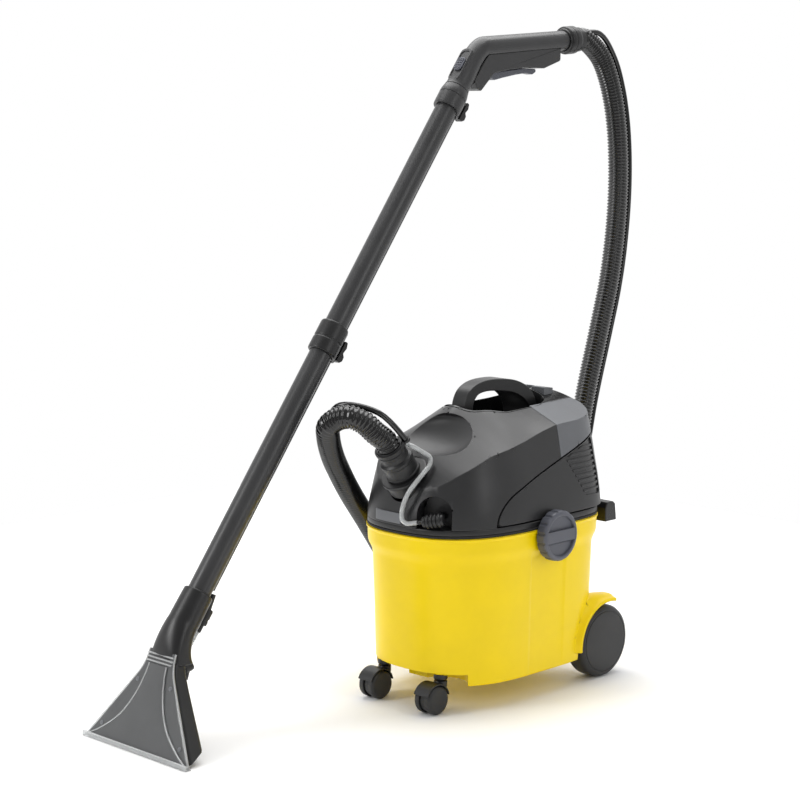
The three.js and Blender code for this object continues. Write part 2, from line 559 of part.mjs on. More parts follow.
piece("nozzle_spray_tube", tube([beside(213.6, LINE_BACK), beside(200, LINE_BACK), beside(185, 31),
  V(WAND.x, -510.4, 121), V(WAND.x, -511, 113.4)], 3, 8, 12), CLEAR());

const line = (from, to) => rod(beside(from, TUBE_RADIUS + 1.5), beside(to, TUBE_RADIUS + 1.5), 5, 5, 12);
function suctionTube(from, to, lineFrom, lineTo) {
  const whole = join(rod(wandAt(from), wandAt(to), TUBE_RADIUS), line(lineFrom, lineTo));
  return cut(whole, rod(wandAt(from - 5), wandAt(to + 5), TUBE_RADIUS - 2));
}
piece("lower_tube", suctionTube(238, 688, 276, 664), BLACK());
piece("upper_tube", suctionTube(692, 1124, 718, 1120), BLACK());
function tubeCollar(from, to, extra) {
  const lug = rod(beside(from, TUBE_RADIUS + 1), beside(to, TUBE_RADIUS + 1), 9);
  const bore = rod(wandAt(from - 5), wandAt(to + 5), TUBE_RADIUS + GAP);
  const lineBore = rod(beside(from - 5, TUBE_RADIUS + 1.5), beside(to + 5, TUBE_RADIUS + 1.5),
    5 + GAP, 5 + GAP, 12);
  return cut(join(rod(wandAt(from), wandAt(to), TUBE_RADIUS + extra), lug), bore, lineBore);
}
piece("tube_collar", tubeCollar(666, 716, 5), BLACK());
function latch(from, to) {
  return join(rod(beside(from, TUBE_RADIUS + 14.5), beside(to, TUBE_RADIUS + 14.5), 4, 4, 12),
    rod(beside(from + 6, TUBE_RADIUS + 17), beside(from + 10, TUBE_RADIUS + 17), 4.5, 4.5, 12));
}
piece("tube_latch", latch(672, 706), BLACK());
piece("handle_latch", latch(1120, 1152), BLACK());

const GRIP_AXIS = V(0, 1, 0.075).normalize();
const GRIP_BEND = V(WAND.x, 97.4, 991.8);              // where the tube's axis meets the grip's
const gripAt = (distance) => GRIP_BEND.clone().addScaledVector(GRIP_AXIS, distance);
const GRIP = { radius: 16.5, length: 208, foot: 1118, swivel: 40 };
function ball(centre, radius, sides = 20) {
  const g = new THREE.SphereGeometry(radius, sides, sides / 2);
  return solid(g.translate(centre.x, centre.y, centre.z));
}
function gripBulk(margin) {
  const neck = rod(wandAt(GRIP.foot - margin), wandAt(1160), 22.5 + margin, 18.5 + margin, 28);
  const lug = rod(beside(GRIP.foot - margin, TUBE_RADIUS + 1), beside(1150, TUBE_RADIUS + 1),
    9 + margin, 9 + margin, 16);
  return join(neck, rod(wandAt(1155), GRIP_BEND, 18.5 + margin, 17 + margin, 20),
    ball(GRIP_BEND, 17 + margin),
    rod(GRIP_BEND, gripAt(GRIP.length + margin), 17 + margin, GRIP.radius + margin, 20), lug);
}
piece("grip_shell", cut(gripBulk(0), rod(wandAt(1090), wandAt(1127), TUBE_RADIUS + GAP),
  rod(beside(1100, TUBE_RADIUS + 1.5), beside(1123, TUBE_RADIUS + 1.5), 5 + GAP, 5 + GAP, 12)), BLACK());
function gripPanel() {
  const plate = alongX([[84, 927], [92, 923], [124, 952], [160, 958], [205, 962], [245, 961],
    [286, 974], [286, 998], [117, 990], [76, 940]], WAND.x - 13, WAND.x + 13);
  const slot = alongX([[114, 930], [118, 962], [160, 970], [205, 972], [233, 970], [233, 940]],
    WAND.x - 9, WAND.x + 9);
  const latchRoom = rod(beside(1110, TUBE_RADIUS + 15), beside(1156, TUBE_RADIUS + 15), 6, 6, 12);
  return cut(plate, gripBulk(GAP), slot, latchRoom);
}
piece("grip_panel", gripPanel(), HEAD_GREY());
piece("spray_trigger", alongX([[120, 946], [130, 941], [150, 945], [180, 950], [205, 953], [222, 951],
  [230, 955], [230, 960], [200, 961], [160, 957], [122, 953]], WAND.x - 7.5, WAND.x + 7.5),
skin(0x4a4c50, 0.5));

const SLIDER = { from: 1182, back: -(GRIP.radius + 5.4), tilt: -36.8 };
function airSlider() {
  const ribs = [3, 7, 11, 15, 19].map((h) => box(-8, 8, -4, 0, h - 1, h + 1));
  const button = join(box(-9, 9, -2.6, 2.6, 0, 22), ...ribs).rotate([SLIDER.tilt, 0, 0]);
  return cut(button.translate(beside(SLIDER.from, SLIDER.back).toArray()), gripBulk(GAP));
}
piece("air_slider", airSlider(), KNOB_GREY());

const SWIVEL_PROFILE = [[0, 0], [19, 0], [23, 5], [23, 24], [20, 30], [20, GRIP.swivel], [0, GRIP.swivel]];
piece("hose_swivel", turned(SWIVEL_PROFILE, gripAt(GRIP.length + GAP), GRIP_AXIS, 24), BLACK());

// ---------------------------------------------------------------- hoses
const hoseEnd = (distance) => gripAt(GRIP.length + GRIP.swivel + 2 * GAP + distance);
const HOSE_ROUTE = [portAt(58.4), portAt(70), V(-3, -236, 424), V(-10, -252, 440), V(-24, -267, 449),
  V(-42, -274, 446), V(-60, -277, 433.5), V(-76, -263.5, 414), V(-98, -234, 378.5), V(-118, -196, 339),
  V(-135, -160.5, 305), V(-148, -130, 277), V(-160, -98, 246), V(-171, -50, 190), V(-178, 0, 126),
  V(-181, 48, 70), V(-180, 98, 32), V(-176, 150, 19.5), V(-167, 205, 27), V(-153, 254, 60),
  V(-138, 293, 112), V(-126, 321, 172), V(-117, 342, 240), V(-112, 358, 320), V(-110, 374, 398),
  V(-110, 390, 452), V(-110, 406, 501), V(-110, 422, 552), V(-110, 437, 603), V(-110, 447, 654),
  V(-110, 454, 706), V(-110, 457.5, 757), V(-110, 457, 808), V(-110, 452, 860), V(-110, 441, 910),
  V(-110, 424, 953), V(-110, 402, 985), hoseEnd(14), hoseEnd(0)];
piece("suction_hose", tube(HOSE_ROUTE, HOSE_RADIUS, 10, 64), HOSE_BLACK());

// The thin hose lies along the outer side of the thick one: share of the length and side vector.
const OUTER_SIDE = [[0, 0.66, 0.6, 0.44], [0.03, 0.2, 0.6, 0.75], [0.06, -0.3, 0.6, 0.75],
  [0.1, -0.8, 0.3, 0.4], [0.4, -1, 0, 0.1], [0.48, -0.6, 0.6, 0], [0.56, 0.2, 1, 0], [1, 0.3, 1, 0.2]];
function outerSide(share) {
  const k = OUTER_SIDE.findIndex((row, i) => i > 0 && share <= row[0]);
  const [a, ...from] = OUTER_SIDE[k - 1], [b, ...to] = OUTER_SIDE[k];
  return V(...from).lerp(V(...to), (share - a) / (b - a));
}
const HOSE_CURVE = new THREE.CatmullRomCurve3(HOSE_ROUTE, false, "centripetal");
const BESIDE = HOSE_RADIUS + SPRAY_HOSE_RADIUS;
const clipSide = V(0.66, 0.6, 0.44).projectOnPlane(portAxis).setLength(BESIDE + 3.8);
function sprayHoseRoute() {
  const points = [portAt(53).add(clipSide), portAt(58).add(clipSide)];
  for (let i = 1; i <= 44; i++) {
    const share = 0.98 * i / 44;
    const out = outerSide(share).projectOnPlane(HOSE_CURVE.getTangentAt(share));
    const room = share < 0.12 ? 2.4 : 1.2;
    points.push(HOSE_CURVE.getPointAt(share).add(out.setLength(BESIDE + room)));
  }
  return points;
}
piece("spray_hose", tube(sprayHoseRoute(), SPRAY_HOSE_RADIUS, 8, 66), HOSE_BLACK());

const CUFF_PROFILE = [[0, -14], [25, -14], [25, 30], [23, 33], [21, 34], [21, 58], [0, 58]];
piece("port_cuff", turned(CUFF_PROFILE, portAt(0), portAxis, 28), BLACK());

const clipAt = (distance) => portAt(distance).add(clipSide);
function hoseClip() {
  const band = collar(21, 23.6, portAt(52), portAt(57), 20);
  const eye = rod(clipAt(53.4), clipAt(57), 7, 7, 14);
  return cut(join(band, eye), rod(portAt(40), portAt(70), 21.4, 21.4, 20),
    rod(clipAt(50), clipAt(60), 5.5, 5.5, 12));
}
piece("hose_clip", hoseClip(), BLACK());

const CONNECTOR_ROUTE = [clipAt(52.6), clipAt(47), V(25, -187, 402), V(31, -175, 394), V(36, -161, 383),
  V(38.5, -164, 374), V(39.5, -181, 361), V(35, -193.5, 347), V(28.5, -201, 332.5), V(22, -204, 315),
  V(19.4, -204.5, 302), V(22, -205.5, 293), V(29, -203.5, 288.6), couplingAt(-8), couplingAt(-0.9)];
piece("connector_tube", tube(CONNECTOR_ROUTE, 3.5, 8, 26), CLEAR());

export default machine;
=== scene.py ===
"""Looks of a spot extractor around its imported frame.

Shapes are written in millimetres of the machine's own frame: X across, -Y to the front, Z up from the
floor, with the origin on the middle plane, 154 mm in front of the rear axle. place() turns them into the
CAD frame.
"""
import math

import bmesh
import bpy
from mathutils import Matrix, Vector
from mathutils.bvhtree import BVHTree


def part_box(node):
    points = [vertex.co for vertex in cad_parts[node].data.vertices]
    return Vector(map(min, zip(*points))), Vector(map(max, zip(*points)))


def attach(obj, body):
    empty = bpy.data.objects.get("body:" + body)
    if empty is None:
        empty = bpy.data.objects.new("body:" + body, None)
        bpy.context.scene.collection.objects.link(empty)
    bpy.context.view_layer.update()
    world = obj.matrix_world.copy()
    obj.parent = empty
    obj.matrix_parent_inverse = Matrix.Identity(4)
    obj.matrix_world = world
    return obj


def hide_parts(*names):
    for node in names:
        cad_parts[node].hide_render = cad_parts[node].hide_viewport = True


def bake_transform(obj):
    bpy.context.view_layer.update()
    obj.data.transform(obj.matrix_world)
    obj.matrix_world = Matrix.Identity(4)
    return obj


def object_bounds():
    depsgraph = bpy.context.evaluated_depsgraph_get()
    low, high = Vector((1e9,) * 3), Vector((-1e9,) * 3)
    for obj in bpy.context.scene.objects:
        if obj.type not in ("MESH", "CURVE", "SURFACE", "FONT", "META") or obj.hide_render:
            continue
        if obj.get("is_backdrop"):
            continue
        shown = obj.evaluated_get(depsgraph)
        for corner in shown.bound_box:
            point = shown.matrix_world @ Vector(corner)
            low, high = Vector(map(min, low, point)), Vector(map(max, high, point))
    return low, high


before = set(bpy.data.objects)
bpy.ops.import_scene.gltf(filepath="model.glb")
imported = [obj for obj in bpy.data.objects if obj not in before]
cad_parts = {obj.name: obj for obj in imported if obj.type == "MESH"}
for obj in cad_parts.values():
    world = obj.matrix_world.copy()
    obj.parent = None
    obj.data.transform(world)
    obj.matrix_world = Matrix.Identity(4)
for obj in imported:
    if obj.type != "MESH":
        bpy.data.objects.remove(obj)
cad_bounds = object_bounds()

# ---- the machine's frame
MM = 0.001
AXLE_Y = 154
SIDES = (("left", -1), ("right", 1))
axle_low, axle_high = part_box("rear_axle")
ORIGIN = Vector(((axle_low.x + axle_high.x) / 2, (axle_low.y + axle_high.y) / 2 - AXLE_Y * MM, 0))


def place(point):
    return ORIGIN + MM * Vector(point)


# ---- camera
CAMERA_PLACE, CAMERA_TILT, CAMERA_TURN = (2065, -2273, 899), 81.66, 44.73
CAMERA_LENS, CAMERA_SENSOR = 90, 36


def put(name, data):
    obj = bpy.data.objects.new(name, data)
    bpy.context.collection.objects.link(obj)
    return obj


def add_camera():
    data = bpy.data.cameras.new("camera")
    data.lens, data.sensor_width = CAMERA_LENS, CAMERA_SENSOR
    camera = put("camera", data)
    camera.location = place(CAMERA_PLACE)
    camera.rotation_euler = (math.radians(CAMERA_TILT), 0, math.radians(CAMERA_TURN))
    bpy.context.scene.camera = camera


add_camera()


# ---- lines
def power(value, exponent):
    return math.copysign(abs(value) ** exponent, value)


def smooth(value):
    value = min(max(value, 0.0), 1.0)
    return value * value * (3 - 2 * value)


def lengths(line):
    total = [0.0]
    for a, b in zip(line, line[1:]):
        total.append(total[-1] + (b - a).length)
    return total


def evenly(line, count):
    """The line again, with that many points the same distance apart."""
    along, points, k = lengths(line), [], 0
    for i in range(count):
        at = along[-1] * i / (count - 1)
        while k < len(line) - 2 and along[k + 1] < at:
            k += 1
        span = along[k + 1] - along[k]
        points.append(line[k].lerp(line[k + 1], (at - along[k]) / span if span else 0))
    return points


def spline(points, steps=12):
    """A smooth line through the points (a centripetal Catmull-Rom curve)."""
    points = [Vector(p) for p in points]
    ends = [2 * points[0] - points[1], *points, 2 * points[-1] - points[-2]]
    line = []
    for p0, p1, p2, p3 in zip(ends, ends[1:], ends[2:], ends[3:]):
        d0, d1, d2 = ((b - a).length ** 0.5 for a, b in ((p0, p1), (p1, p2), (p2, p3)))
        m1 = ((p1 - p0) / d0 - (p2 - p0) / (d0 + d1) + (p2 - p1) / d1) * d1
        m2 = ((p2 - p1) / d1 - (p3 - p1) / (d1 + d2) + (p3 - p2) / d2) * d1
        for k in range(steps):
            t = k / steps
            a, b = 2 * t ** 3 - 3 * t ** 2 + 1, t ** 3 - 2 * t ** 2 + t
            line.append(a * p1 + b * m1 + (1 - a) * p2 + (t ** 3 - t ** 2) * m2)
    return [*line, points[-1]]


def rounded(outline, radius, steps=5):
    """A closed outline with its corners rounded off."""
    outline = [Vector(p) for p in outline]
    points = []
    for i, p in enumerate(outline):
        a, b = outline[i - 1] - p, outline[(i + 1) % len(outline)] - p
        reach = min(radius / math.tan(a.angle(b) / 2), 0.45 * a.length, 0.45 * b.length)
        start, end = p + reach * a.normalized(), p + reach * b.normalized()
        for k in range(steps + 1):
            t = k / steps
            points.append(start.lerp(p, t).lerp(p.lerp(end, t), t))
    return points


def rounded_box(x0, x1, y0, y1, radius, steps=5):
    return rounded([(x0, y0), (x1, y0), (x1, y1), (x0, y1)], radius, steps)


# ---- solids
def make(name, verts, faces):
    """A closed mesh from points in the machine's millimetres, with its faces turned outwards."""
    mesh = bpy.data.meshes.new(name)
    mesh.from_pydata([place(v) for v in verts], [], faces)
    edit = bmesh.new()
    edit.from_mesh(mesh)
    bmesh.ops.remove_doubles(edit, verts=edit.verts, dist=0.005 * MM)
    bmesh.ops.dissolve_degenerate(edit, edges=edit.edges, dist=0.002 * MM)
    bmesh.ops.recalc_face_normals(edit, faces=edit.faces)
    edit.to_mesh(mesh)
    edit.free()
    return put(name, mesh)


def loft(rings, name="tool", closed=False):
    n = len(rings[0])
    verts = [p for ring in rings for p in ring]
    last = len(rings) if closed else len(rings) - 1
    faces = []
    for k in range(last):
        m = (k + 1) % len(rings)
        faces += [(k * n + i, k * n + (i + 1) % n, m * n + (i + 1) % n, m * n + i) for i in range(n)]
    if not closed:
        faces += [list(range(n)), list(range((len(rings) - 1) * n, len(rings) * n))]
    return make(name, verts, faces)


def circle(sides):
    turns = [2 * math.pi * i / sides for i in range(sides)]
    return [(math.cos(a), math.sin(a)) for a in turns]


def lathe(profile, start, axis, sides=64, closed=False):
    """A turned solid: the profile is (radius, distance) pairs along the axis from the start."""
    axis = Vector(axis).normalized()
    u = axis.orthogonal().normalized()
    w = axis.cross(u)
    rings = [[Vector(start) + h * axis + max(r, 0.001) * (c * u + s * w) for c, s in circle(sides)]
        for r, h in profile]
    return loft(rings, closed=closed)


def rod(a, b, radius, sides=48):
    a, b = Vector(a), Vector(b)
    return lathe([(radius, 0), (radius, (b - a).length)], a, b - a, sides=sides)


def pin(x0, x1, y, z, radius, sides=48):
    """A rod along X."""
    return rod((x0, y, z), (x1, y, z), radius, sides)


def post(x, y, z0, z1, radius, sides=48):
    """A rod along Z."""
    return rod((x, y, z0), (x, y, z1), radius, sides)


def collar(inner, outer, a, b):
    span = (b - a).length
    return lathe([(inner, 0), (outer, 0), (outer, span), (inner, span)], a, b - a, closed=True)


def block(x0, x1, y0, y1, z0, z1):
    corners = ((x0, y0), (x1, y0), (x1, y1), (x0, y1))
    return loft([[Vector((x, y, z)) for x, y in corners] for z in (z0, z1)])


def along_x(outline, x0, x1):
    """An outline of (y, z) pairs pushed along X."""
    return loft([[Vector((x, y, z)) for y, z in outline] for x in (x0, x1)])


def transport(line):
    """Each point of a line with its tangent and two side vectors that don't twist."""
    side = None
    for i, p in enumerate(line):
        tangent = (line[min(i + 1, len(line) - 1)] - line[max(i - 1, 0)]).normalized()
        side = tangent.orthogonal() if side is None else side - tangent * side.dot(tangent)
        side.normalize()
        yield p, tangent, side, tangent.cross(side)


def sweep(line, radius, name="tool", sides=20, bore=0):
    """A round tube along a line. The radius is a number, or a function of the distance along it."""
    along = lengths(line)
    reach = radius if callable(radius) else lambda _: radius
    turn, outer, inner = circle(sides), [], []
    for (p, _, u, w), at in zip(transport(line), along):
        outer.append([p + reach(at) * (c * u + s * w) for c, s in turn])
        inner.append([p + bore * (c * u + s * w) for c, s in turn])
    return loft(outer + inner[::-1], name, closed=True) if bore else loft(outer, name)


def ball(centre, radii, tilt):
    """An ellipsoid, tilted about X by degrees."""
    turn, steps = Matrix.Rotation(math.radians(tilt), 3, "X"), 48
    rings = []
    for i in range(1, steps):
        lat, ring = math.pi * i / steps, []
        for k in range(2 * steps):
            a = math.pi * k / steps
            ring.append(Vector(centre) + turn @ Vector((radii[0] * math.sin(lat) * math.cos(a),
                radii[1] * math.sin(lat) * math.sin(a), radii[2] * math.cos(lat))))
        rings.append(ring)
    return loft(rings)


def bake(obj):
    """Applies the modifiers."""
    graph = bpy.context.evaluated_depsgraph_get()
    mesh = bpy.data.meshes.new_from_object(obj.evaluated_get(graph))
    old = obj.data
    obj.modifiers.clear()
    obj.data = mesh
    bpy.data.meshes.remove(old)
    mesh.name = obj.name
    return obj


def combine(obj, operation, tools):
    for tool in tools:
        modifier = obj.modifiers.new("combine", "BOOLEAN")
        modifier.operation, modifier.object, modifier.solver = operation, tool, "MANIFOLD"
    bake(obj)
    for tool in tools:
        bpy.data.objects.remove(tool)
    return obj


def cut(obj, *tools):
    return combine(obj, "DIFFERENCE", tools)


def join(obj, *others):
    return combine(obj, "UNION", others)


def common(obj, *others):
    return combine(obj, "INTERSECT", others)


# ---- materials
def node(tree, kind, **values):
    """A shader node. A value is an input's number, the socket that feeds it, or else a setting."""
    made = tree.nodes.new(kind)
    for key, value in values.items():
        if isinstance(value, bpy.types.NodeSocket):
            tree.links.new(value, made.inputs[key])
        elif key in made.inputs:
            made.inputs[key].default_value = value
        else:
            setattr(made, key, value)
    return made


def spread(tree, value, low, high, to_low, to_high):
    """Takes a value from one range to another."""
    return node(tree, "ShaderNodeMapRange", **{"Value": value, "From Min": low, "From Max": high,
        "To Min": to_low, "To Max": to_high}).outputs["Result"]


def linear(rgb):
    return [((c / 255 + 0.055) / 1.055) ** 2.4 if c > 10 else c / 255 / 12.92 for c in rgb]


def finish_of(name, rgb, rough, grain=1400, bump=0.12, vary=0.1, wear=0.2, metal=0.0, clear=0.0,
        coat=0.0, shine=0.5):
    """A moulded surface: fine grain, soft colour and gloss variation, and edges a little rubbed."""
    material = bpy.data.materials.new(name)
    material.use_nodes = True
    tree = material.node_tree
    link = tree.links.new
    shader = tree.nodes["Principled BSDF"]
    for key, value in (("Metallic", metal), ("Specular IOR Level", shine), ("Coat Weight", coat),
            ("Transmission Weight", clear), ("Coat Roughness", 0.12)):
        shader.inputs[key].default_value = value
    where = node(tree, "ShaderNodeTexCoord").outputs["Object"]
    cloud, fine = (node(tree, "ShaderNodeTexNoise", Scale=scale, Detail=detail, Roughness=rise,
        Vector=where).outputs["Fac"] for scale, detail, rise in ((14, 4, 0.6), (grain, 2, 0.5)))
    base = linear(rgb)
    ramp = node(tree, "ShaderNodeValToRGB", Fac=cloud)
    for stop, at, share in zip(ramp.color_ramp.elements, (0.3, 0.7), (1 - vary, 1 + vary)):
        stop.position, stop.color = at, (*[min(1, c * share) for c in base], 1)
    edge = node(tree, "ShaderNodeNewGeometry").outputs["Pointiness"]
    mix = node(tree, "ShaderNodeMix", data_type="RGBA")
    mix.inputs["B"].default_value = (*[min(1, c * 1.25 + 0.05) for c in base], 1)
    link(spread(tree, edge, 0.52, 0.62, 0, wear), mix.inputs["Factor"])
    link(ramp.outputs["Color"], mix.inputs["A"])
    link(mix.outputs["Result"], shader.inputs["Base Color"])
    gloss = spread(tree, cloud, 0.3, 0.7, rough * 0.85, min(1, rough * 1.15))
    link(gloss, shader.inputs["Roughness"])
    relief = node(tree, "ShaderNodeBump", Strength=bump, Distance=0.0003, Height=fine)
    link(relief.outputs["Normal"], shader.inputs["Normal"])
    return material


YELLOW = finish_of("yellow_body", (250, 217, 0), 0.34, vary=0.03, wear=0.1, bump=0.04, shine=0.28)
BLACK = finish_of("black_plastic", (22, 22, 23), 0.38)
TUBE = finish_of("tube_black", (50, 50, 51), 0.34, bump=0.08)
WHEEL = finish_of("wheel_black", (36, 36, 37), 0.5, bump=0.2)
HEAD = finish_of("head_grey", (40, 40, 41), 0.36, bump=0.16)
GLOSS = finish_of("gloss_black", (14, 14, 15), 0.18, bump=0.05)
PANEL = finish_of("panel_grey", (100, 102, 106), 0.45)
KNOB = finish_of("knob_grey", (84, 86, 95), 0.42)
WHITE = finish_of("white_plastic", (228, 228, 224), 0.45)
ORANGE = finish_of("float_orange", (217, 122, 30), 0.5)
CLEAR = finish_of("clear_plastic", (232, 234, 234), 0.08, clear=0.6, bump=0.02, vary=0.03)
SMOKE = finish_of("smoky_plastic", (104, 105, 106), 0.14, clear=0.3, bump=0.02, vary=0.06)
HOSE = finish_of("hose_black", (9, 9, 9), 0.16, bump=0.03, vary=0.2, coat=0.3)
RUBBER = finish_of("gasket_rubber", (16, 16, 16), 0.7, bump=0.3)
STEEL = finish_of("steel", (184, 186, 189), 0.3, metal=1.0, vary=0.06)
MOTOR = finish_of("motor_metal", (150, 153, 156), 0.42, metal=1.0, vary=0.1)


def clean(obj):
    """Merges the slivers that the cuts leave behind."""
    edit = bmesh.new()
    edit.from_mesh(obj.data)
    bmesh.ops.remove_doubles(edit, verts=edit.verts, dist=0.08 * MM)
    bmesh.ops.dissolve_degenerate(edit, edges=edit.edges, dist=0.05 * MM)
    bmesh.ops.dissolve_limit(edit, angle_limit=math.radians(0.3), verts=edit.verts, edges=edit.edges)
    edit.to_mesh(obj.data)
    edit.free()


def settle(obj, surface, reach):
    """Sets the few points that the rounding threw off the surface back onto it."""
    for vert in obj.data.vertices:
        spot, _, _, distance = surface.find_nearest(vert.co)
        if distance > reach:
            vert.co = spot


def paint(obj, material):
    obj.data.materials.clear()
    obj.data.materials.append(material)


def finish(obj, name, body, material, stands_for=None, bevel=0.8, angle=35):
    """Rounds a piece's sharp edges, gives it its material, and sets it on its body."""
    obj.name = name
    if bevel:
        clean(obj)
        mesh = obj.data
        corners, faces = [v.co for v in mesh.vertices], [p.vertices for p in mesh.polygons]
        surface = BVHTree.FromPolygons(corners, faces)
        edges = obj.modifiers.new("bevel", "BEVEL")
        edges.width, edges.segments, edges.limit_method = bevel * MM, 3, "ANGLE"
        edges.angle_limit, edges.use_clamp_overlap = math.radians(angle), False
        edges.miter_outer = "MITER_ARC"
        settle(bake(obj), surface, 0.75 * bevel * MM)
    obj.data.shade_smooth()
    weight = obj.modifiers.new("normals", "WEIGHTED_NORMAL")
    weight.weight, weight.keep_sharp = 90, True
    bake(obj)
    paint(obj, material)
    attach(obj, body)
    if stands_for:
        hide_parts(stands_for)
    return obj


def finish_black(obj, name, body, stands_for, bevel=0.8):
    return finish(obj, name, body, BLACK, stands_for, bevel)


def finish_clear(obj, name, stands_for=None):
    return finish(obj, name, "wand", CLEAR, stands_for, bevel=0)


# ---- hoses
PORT_TILT = math.radians(36)
PORT_AXIS = Vector((0, -math.sin(PORT_TILT), math.cos(PORT_TILT)))
GRIP_AXIS = Vector((0, 1, 0.075)).normalized()
GRIP_BEND = Vector((-110, 97.4, 991.8))
GRIP_LENGTH, SWIVEL_LENGTH, GAP = 208, 40, 0.3
HOSE_RADIUS, SPRAY_RADIUS = 18, 4.5


def port_at(distance):
    return Vector((0, -178, 355)) + distance * PORT_AXIS


def grip_at(distance):
    return GRIP_BEND + distance * GRIP_AXIS


def hose_end(distance):
    return grip_at(GRIP_LENGTH + SWIVEL_LENGTH + 2 * GAP + distance)


COUPLING_AXIS = Vector((38, 19, 7)).normalized()


def coupling_at(distance):
    return Vector((43, -194.5, 290.5)) + distance * COUPLING_AXIS


CLIP_REACH = HOSE_RADIUS + SPRAY_RADIUS + 3.8
CLIP_SIDE = Vector((0.66, 0.6, 0.44))
CLIP_SIDE = CLIP_REACH * (CLIP_SIDE - PORT_AXIS * CLIP_SIDE.dot(PORT_AXIS)).normalized()


def clip_at(distance):
    return port_at(distance) + CLIP_SIDE


HOSE_ROUTE = [port_at(58.4), port_at(70), (-3, -236, 424), (-10, -252, 440), (-24, -267, 449),
    (-42, -274, 446), (-60, -277, 433.5), (-76, -263.5, 414), (-98, -234, 378.5), (-118, -196, 339),
    (-135, -160.5, 305), (-148, -130, 277), (-160, -98, 246), (-171, -50, 190), (-178, 0, 126),
    (-181, 48, 70), (-180, 98, 32), (-176, 150, 19.5), (-167, 205, 27), (-153, 254, 60),
    (-138, 293, 112), (-126, 321, 172), (-117, 342, 240), (-112, 358, 320), *((-110, y, z) for y, z in (
        (374, 398), (390, 452), (406, 501), (422, 552), (437, 603), (447, 654), (454, 706), (457.5, 757),
        (457, 808), (452, 860), (441, 910), (424, 953), (402, 985))), hose_end(14), hose_end(0)]
TUBE_ROUTE = [clip_at(52.6), clip_at(47), (25, -187, 402), (31, -175, 394), (36, -161, 383),
    (38.5, -164, 374), (39.5, -181, 361), (35, -193.5, 347), (28.5, -201, 332.5), (22, -204, 315),
    (19.4, -204.5, 302), (22, -205.5, 293), (29, -203.5, 288.6), coupling_at(-8), coupling_at(-0.9)]
# The thin hose lies along the outer side of the thick one: share of the length and side vector.
OUTER_SIDE = [(0, (0.66, 0.6, 0.44)), (0.03, (0.2, 0.6, 0.75)), (0.06, (-0.3, 0.6, 0.75)),
    (0.1, (-0.8, 0.3, 0.4)), (0.4, (-1, 0, 0.1)), (0.48, (-0.6, 0.6, 0)), (0.56, (0.2, 1, 0)),
    (1, (0.3, 1, 0.2))]
RIB_PITCH = 5.6
# Two points along the hoses: on the head's side of the floor loop and at the wand's top.
BEND_FROM, BEND_TO = (-150, 150, 40), (-150, 650, 540)


def outer_side(share):
    k = next(i for i, row in enumerate(OUTER_SIDE) if i and share <= row[0])
    (a, low), (b, high) = OUTER_SIDE[k - 1], OUTER_SIDE[k]
    return Vector(low).lerp(Vector(high), (share - a) / (b - a))


def spray_line(hose_line):
    along = lengths(hose_line)
    points = [clip_at(53), clip_at(58)]
    targets = [along[-1] * 0.98 * i / 38 for i in range(1, 39)]
    frames = list(transport(hose_line))
    for target in targets:
        k = next(i for i, at in enumerate(along) if at >= target)
        p, tangent, _, _ = frames[k]
        share = target / along[-1]
        out = outer_side(share)
        out = (out - tangent * out.dot(tangent)).normalized()
        points.append(p + (HOSE_RADIUS + SPRAY_RADIUS + (2.4 if share < 0.12 else 1.2)) * out)
    return [*points, hose_end(-7) + 14 * out]


def rib(at):
    """The radius of the ribbed hose: round ribs with narrow valleys between them."""
    wave = 0.5 + 0.5 * math.cos(2 * math.pi * at / RIB_PITCH)
    return HOSE_RADIUS - 2.2 * (1 - wave) ** 1.6


def declare_cord(obj, line, node_name):
    obj.data.shade_smooth()
    path = [place(p) for p in line]
    length = MM * lengths(line)[-1]
    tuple(path[0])
    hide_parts(node_name)


hose_line = spline(HOSE_ROUTE)
hose_line = evenly(hose_line, round(lengths(hose_line)[-1] / (RIB_PITCH / 5)))
suction_hose = sweep(hose_line, rib, "ribbed_hose", 26)
thin_line = spline(spray_line(evenly(spline(HOSE_ROUTE), 1500)), 6)
spray_hose = sweep(thin_line, SPRAY_RADIUS, "thin_hose", 16)
for hose in (suction_hose, spray_hose):
    hose.data.materials.append(HOSE)
    place(BEND_FROM)
    place(BEND_TO)
    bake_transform(hose)
tube_line = spline(TUBE_ROUTE, 10)
clear_tube = sweep(tube_line, 3.5, "clear_tube", 20, bore=2.2)
clear_tube.data.materials.append(CLEAR)
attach(clear_tube, "head")


# The two-part cuff on the port, and the clip that holds the thin hose beside it.
def port_cuff():
    profile = [(0, -14), (25, -14), (25, 4), (26.4, 5), (26.4, 9), (25, 10.5), (24.6, 27), (26, 28.5),
        (26, 33), (24.5, 34.5), (21.6, 36), (21, 44), (22.2, 45), (22.2, 48), (21, 49), (21, 57),
        (20, 58), (0, 58)]
    return finish_black(lathe(profile, port_at(0), PORT_AXIS), "hose_cuff", "head", "port_cuff",
        bevel=0.4)


def hose_clip():
    body = join(collar(21, 23.6, port_at(52), port_at(57)), rod(clip_at(53.4), clip_at(57), 7))
    body = cut(body, rod(port_at(40), port_at(70), 21.4), rod(clip_at(50), clip_at(60), 4.8))
    return finish_black(body, "thin_hose_clip", "head", "hose_clip", bevel=0.4)


cuff, clip = port_cuff(), hose_clip()
declare_cord(suction_hose, hose_line, "suction_hose")
declare_cord(spray_hose, thin_line, "spray_hose")
declare_cord(clear_tube, tube_line, "connector_tube")


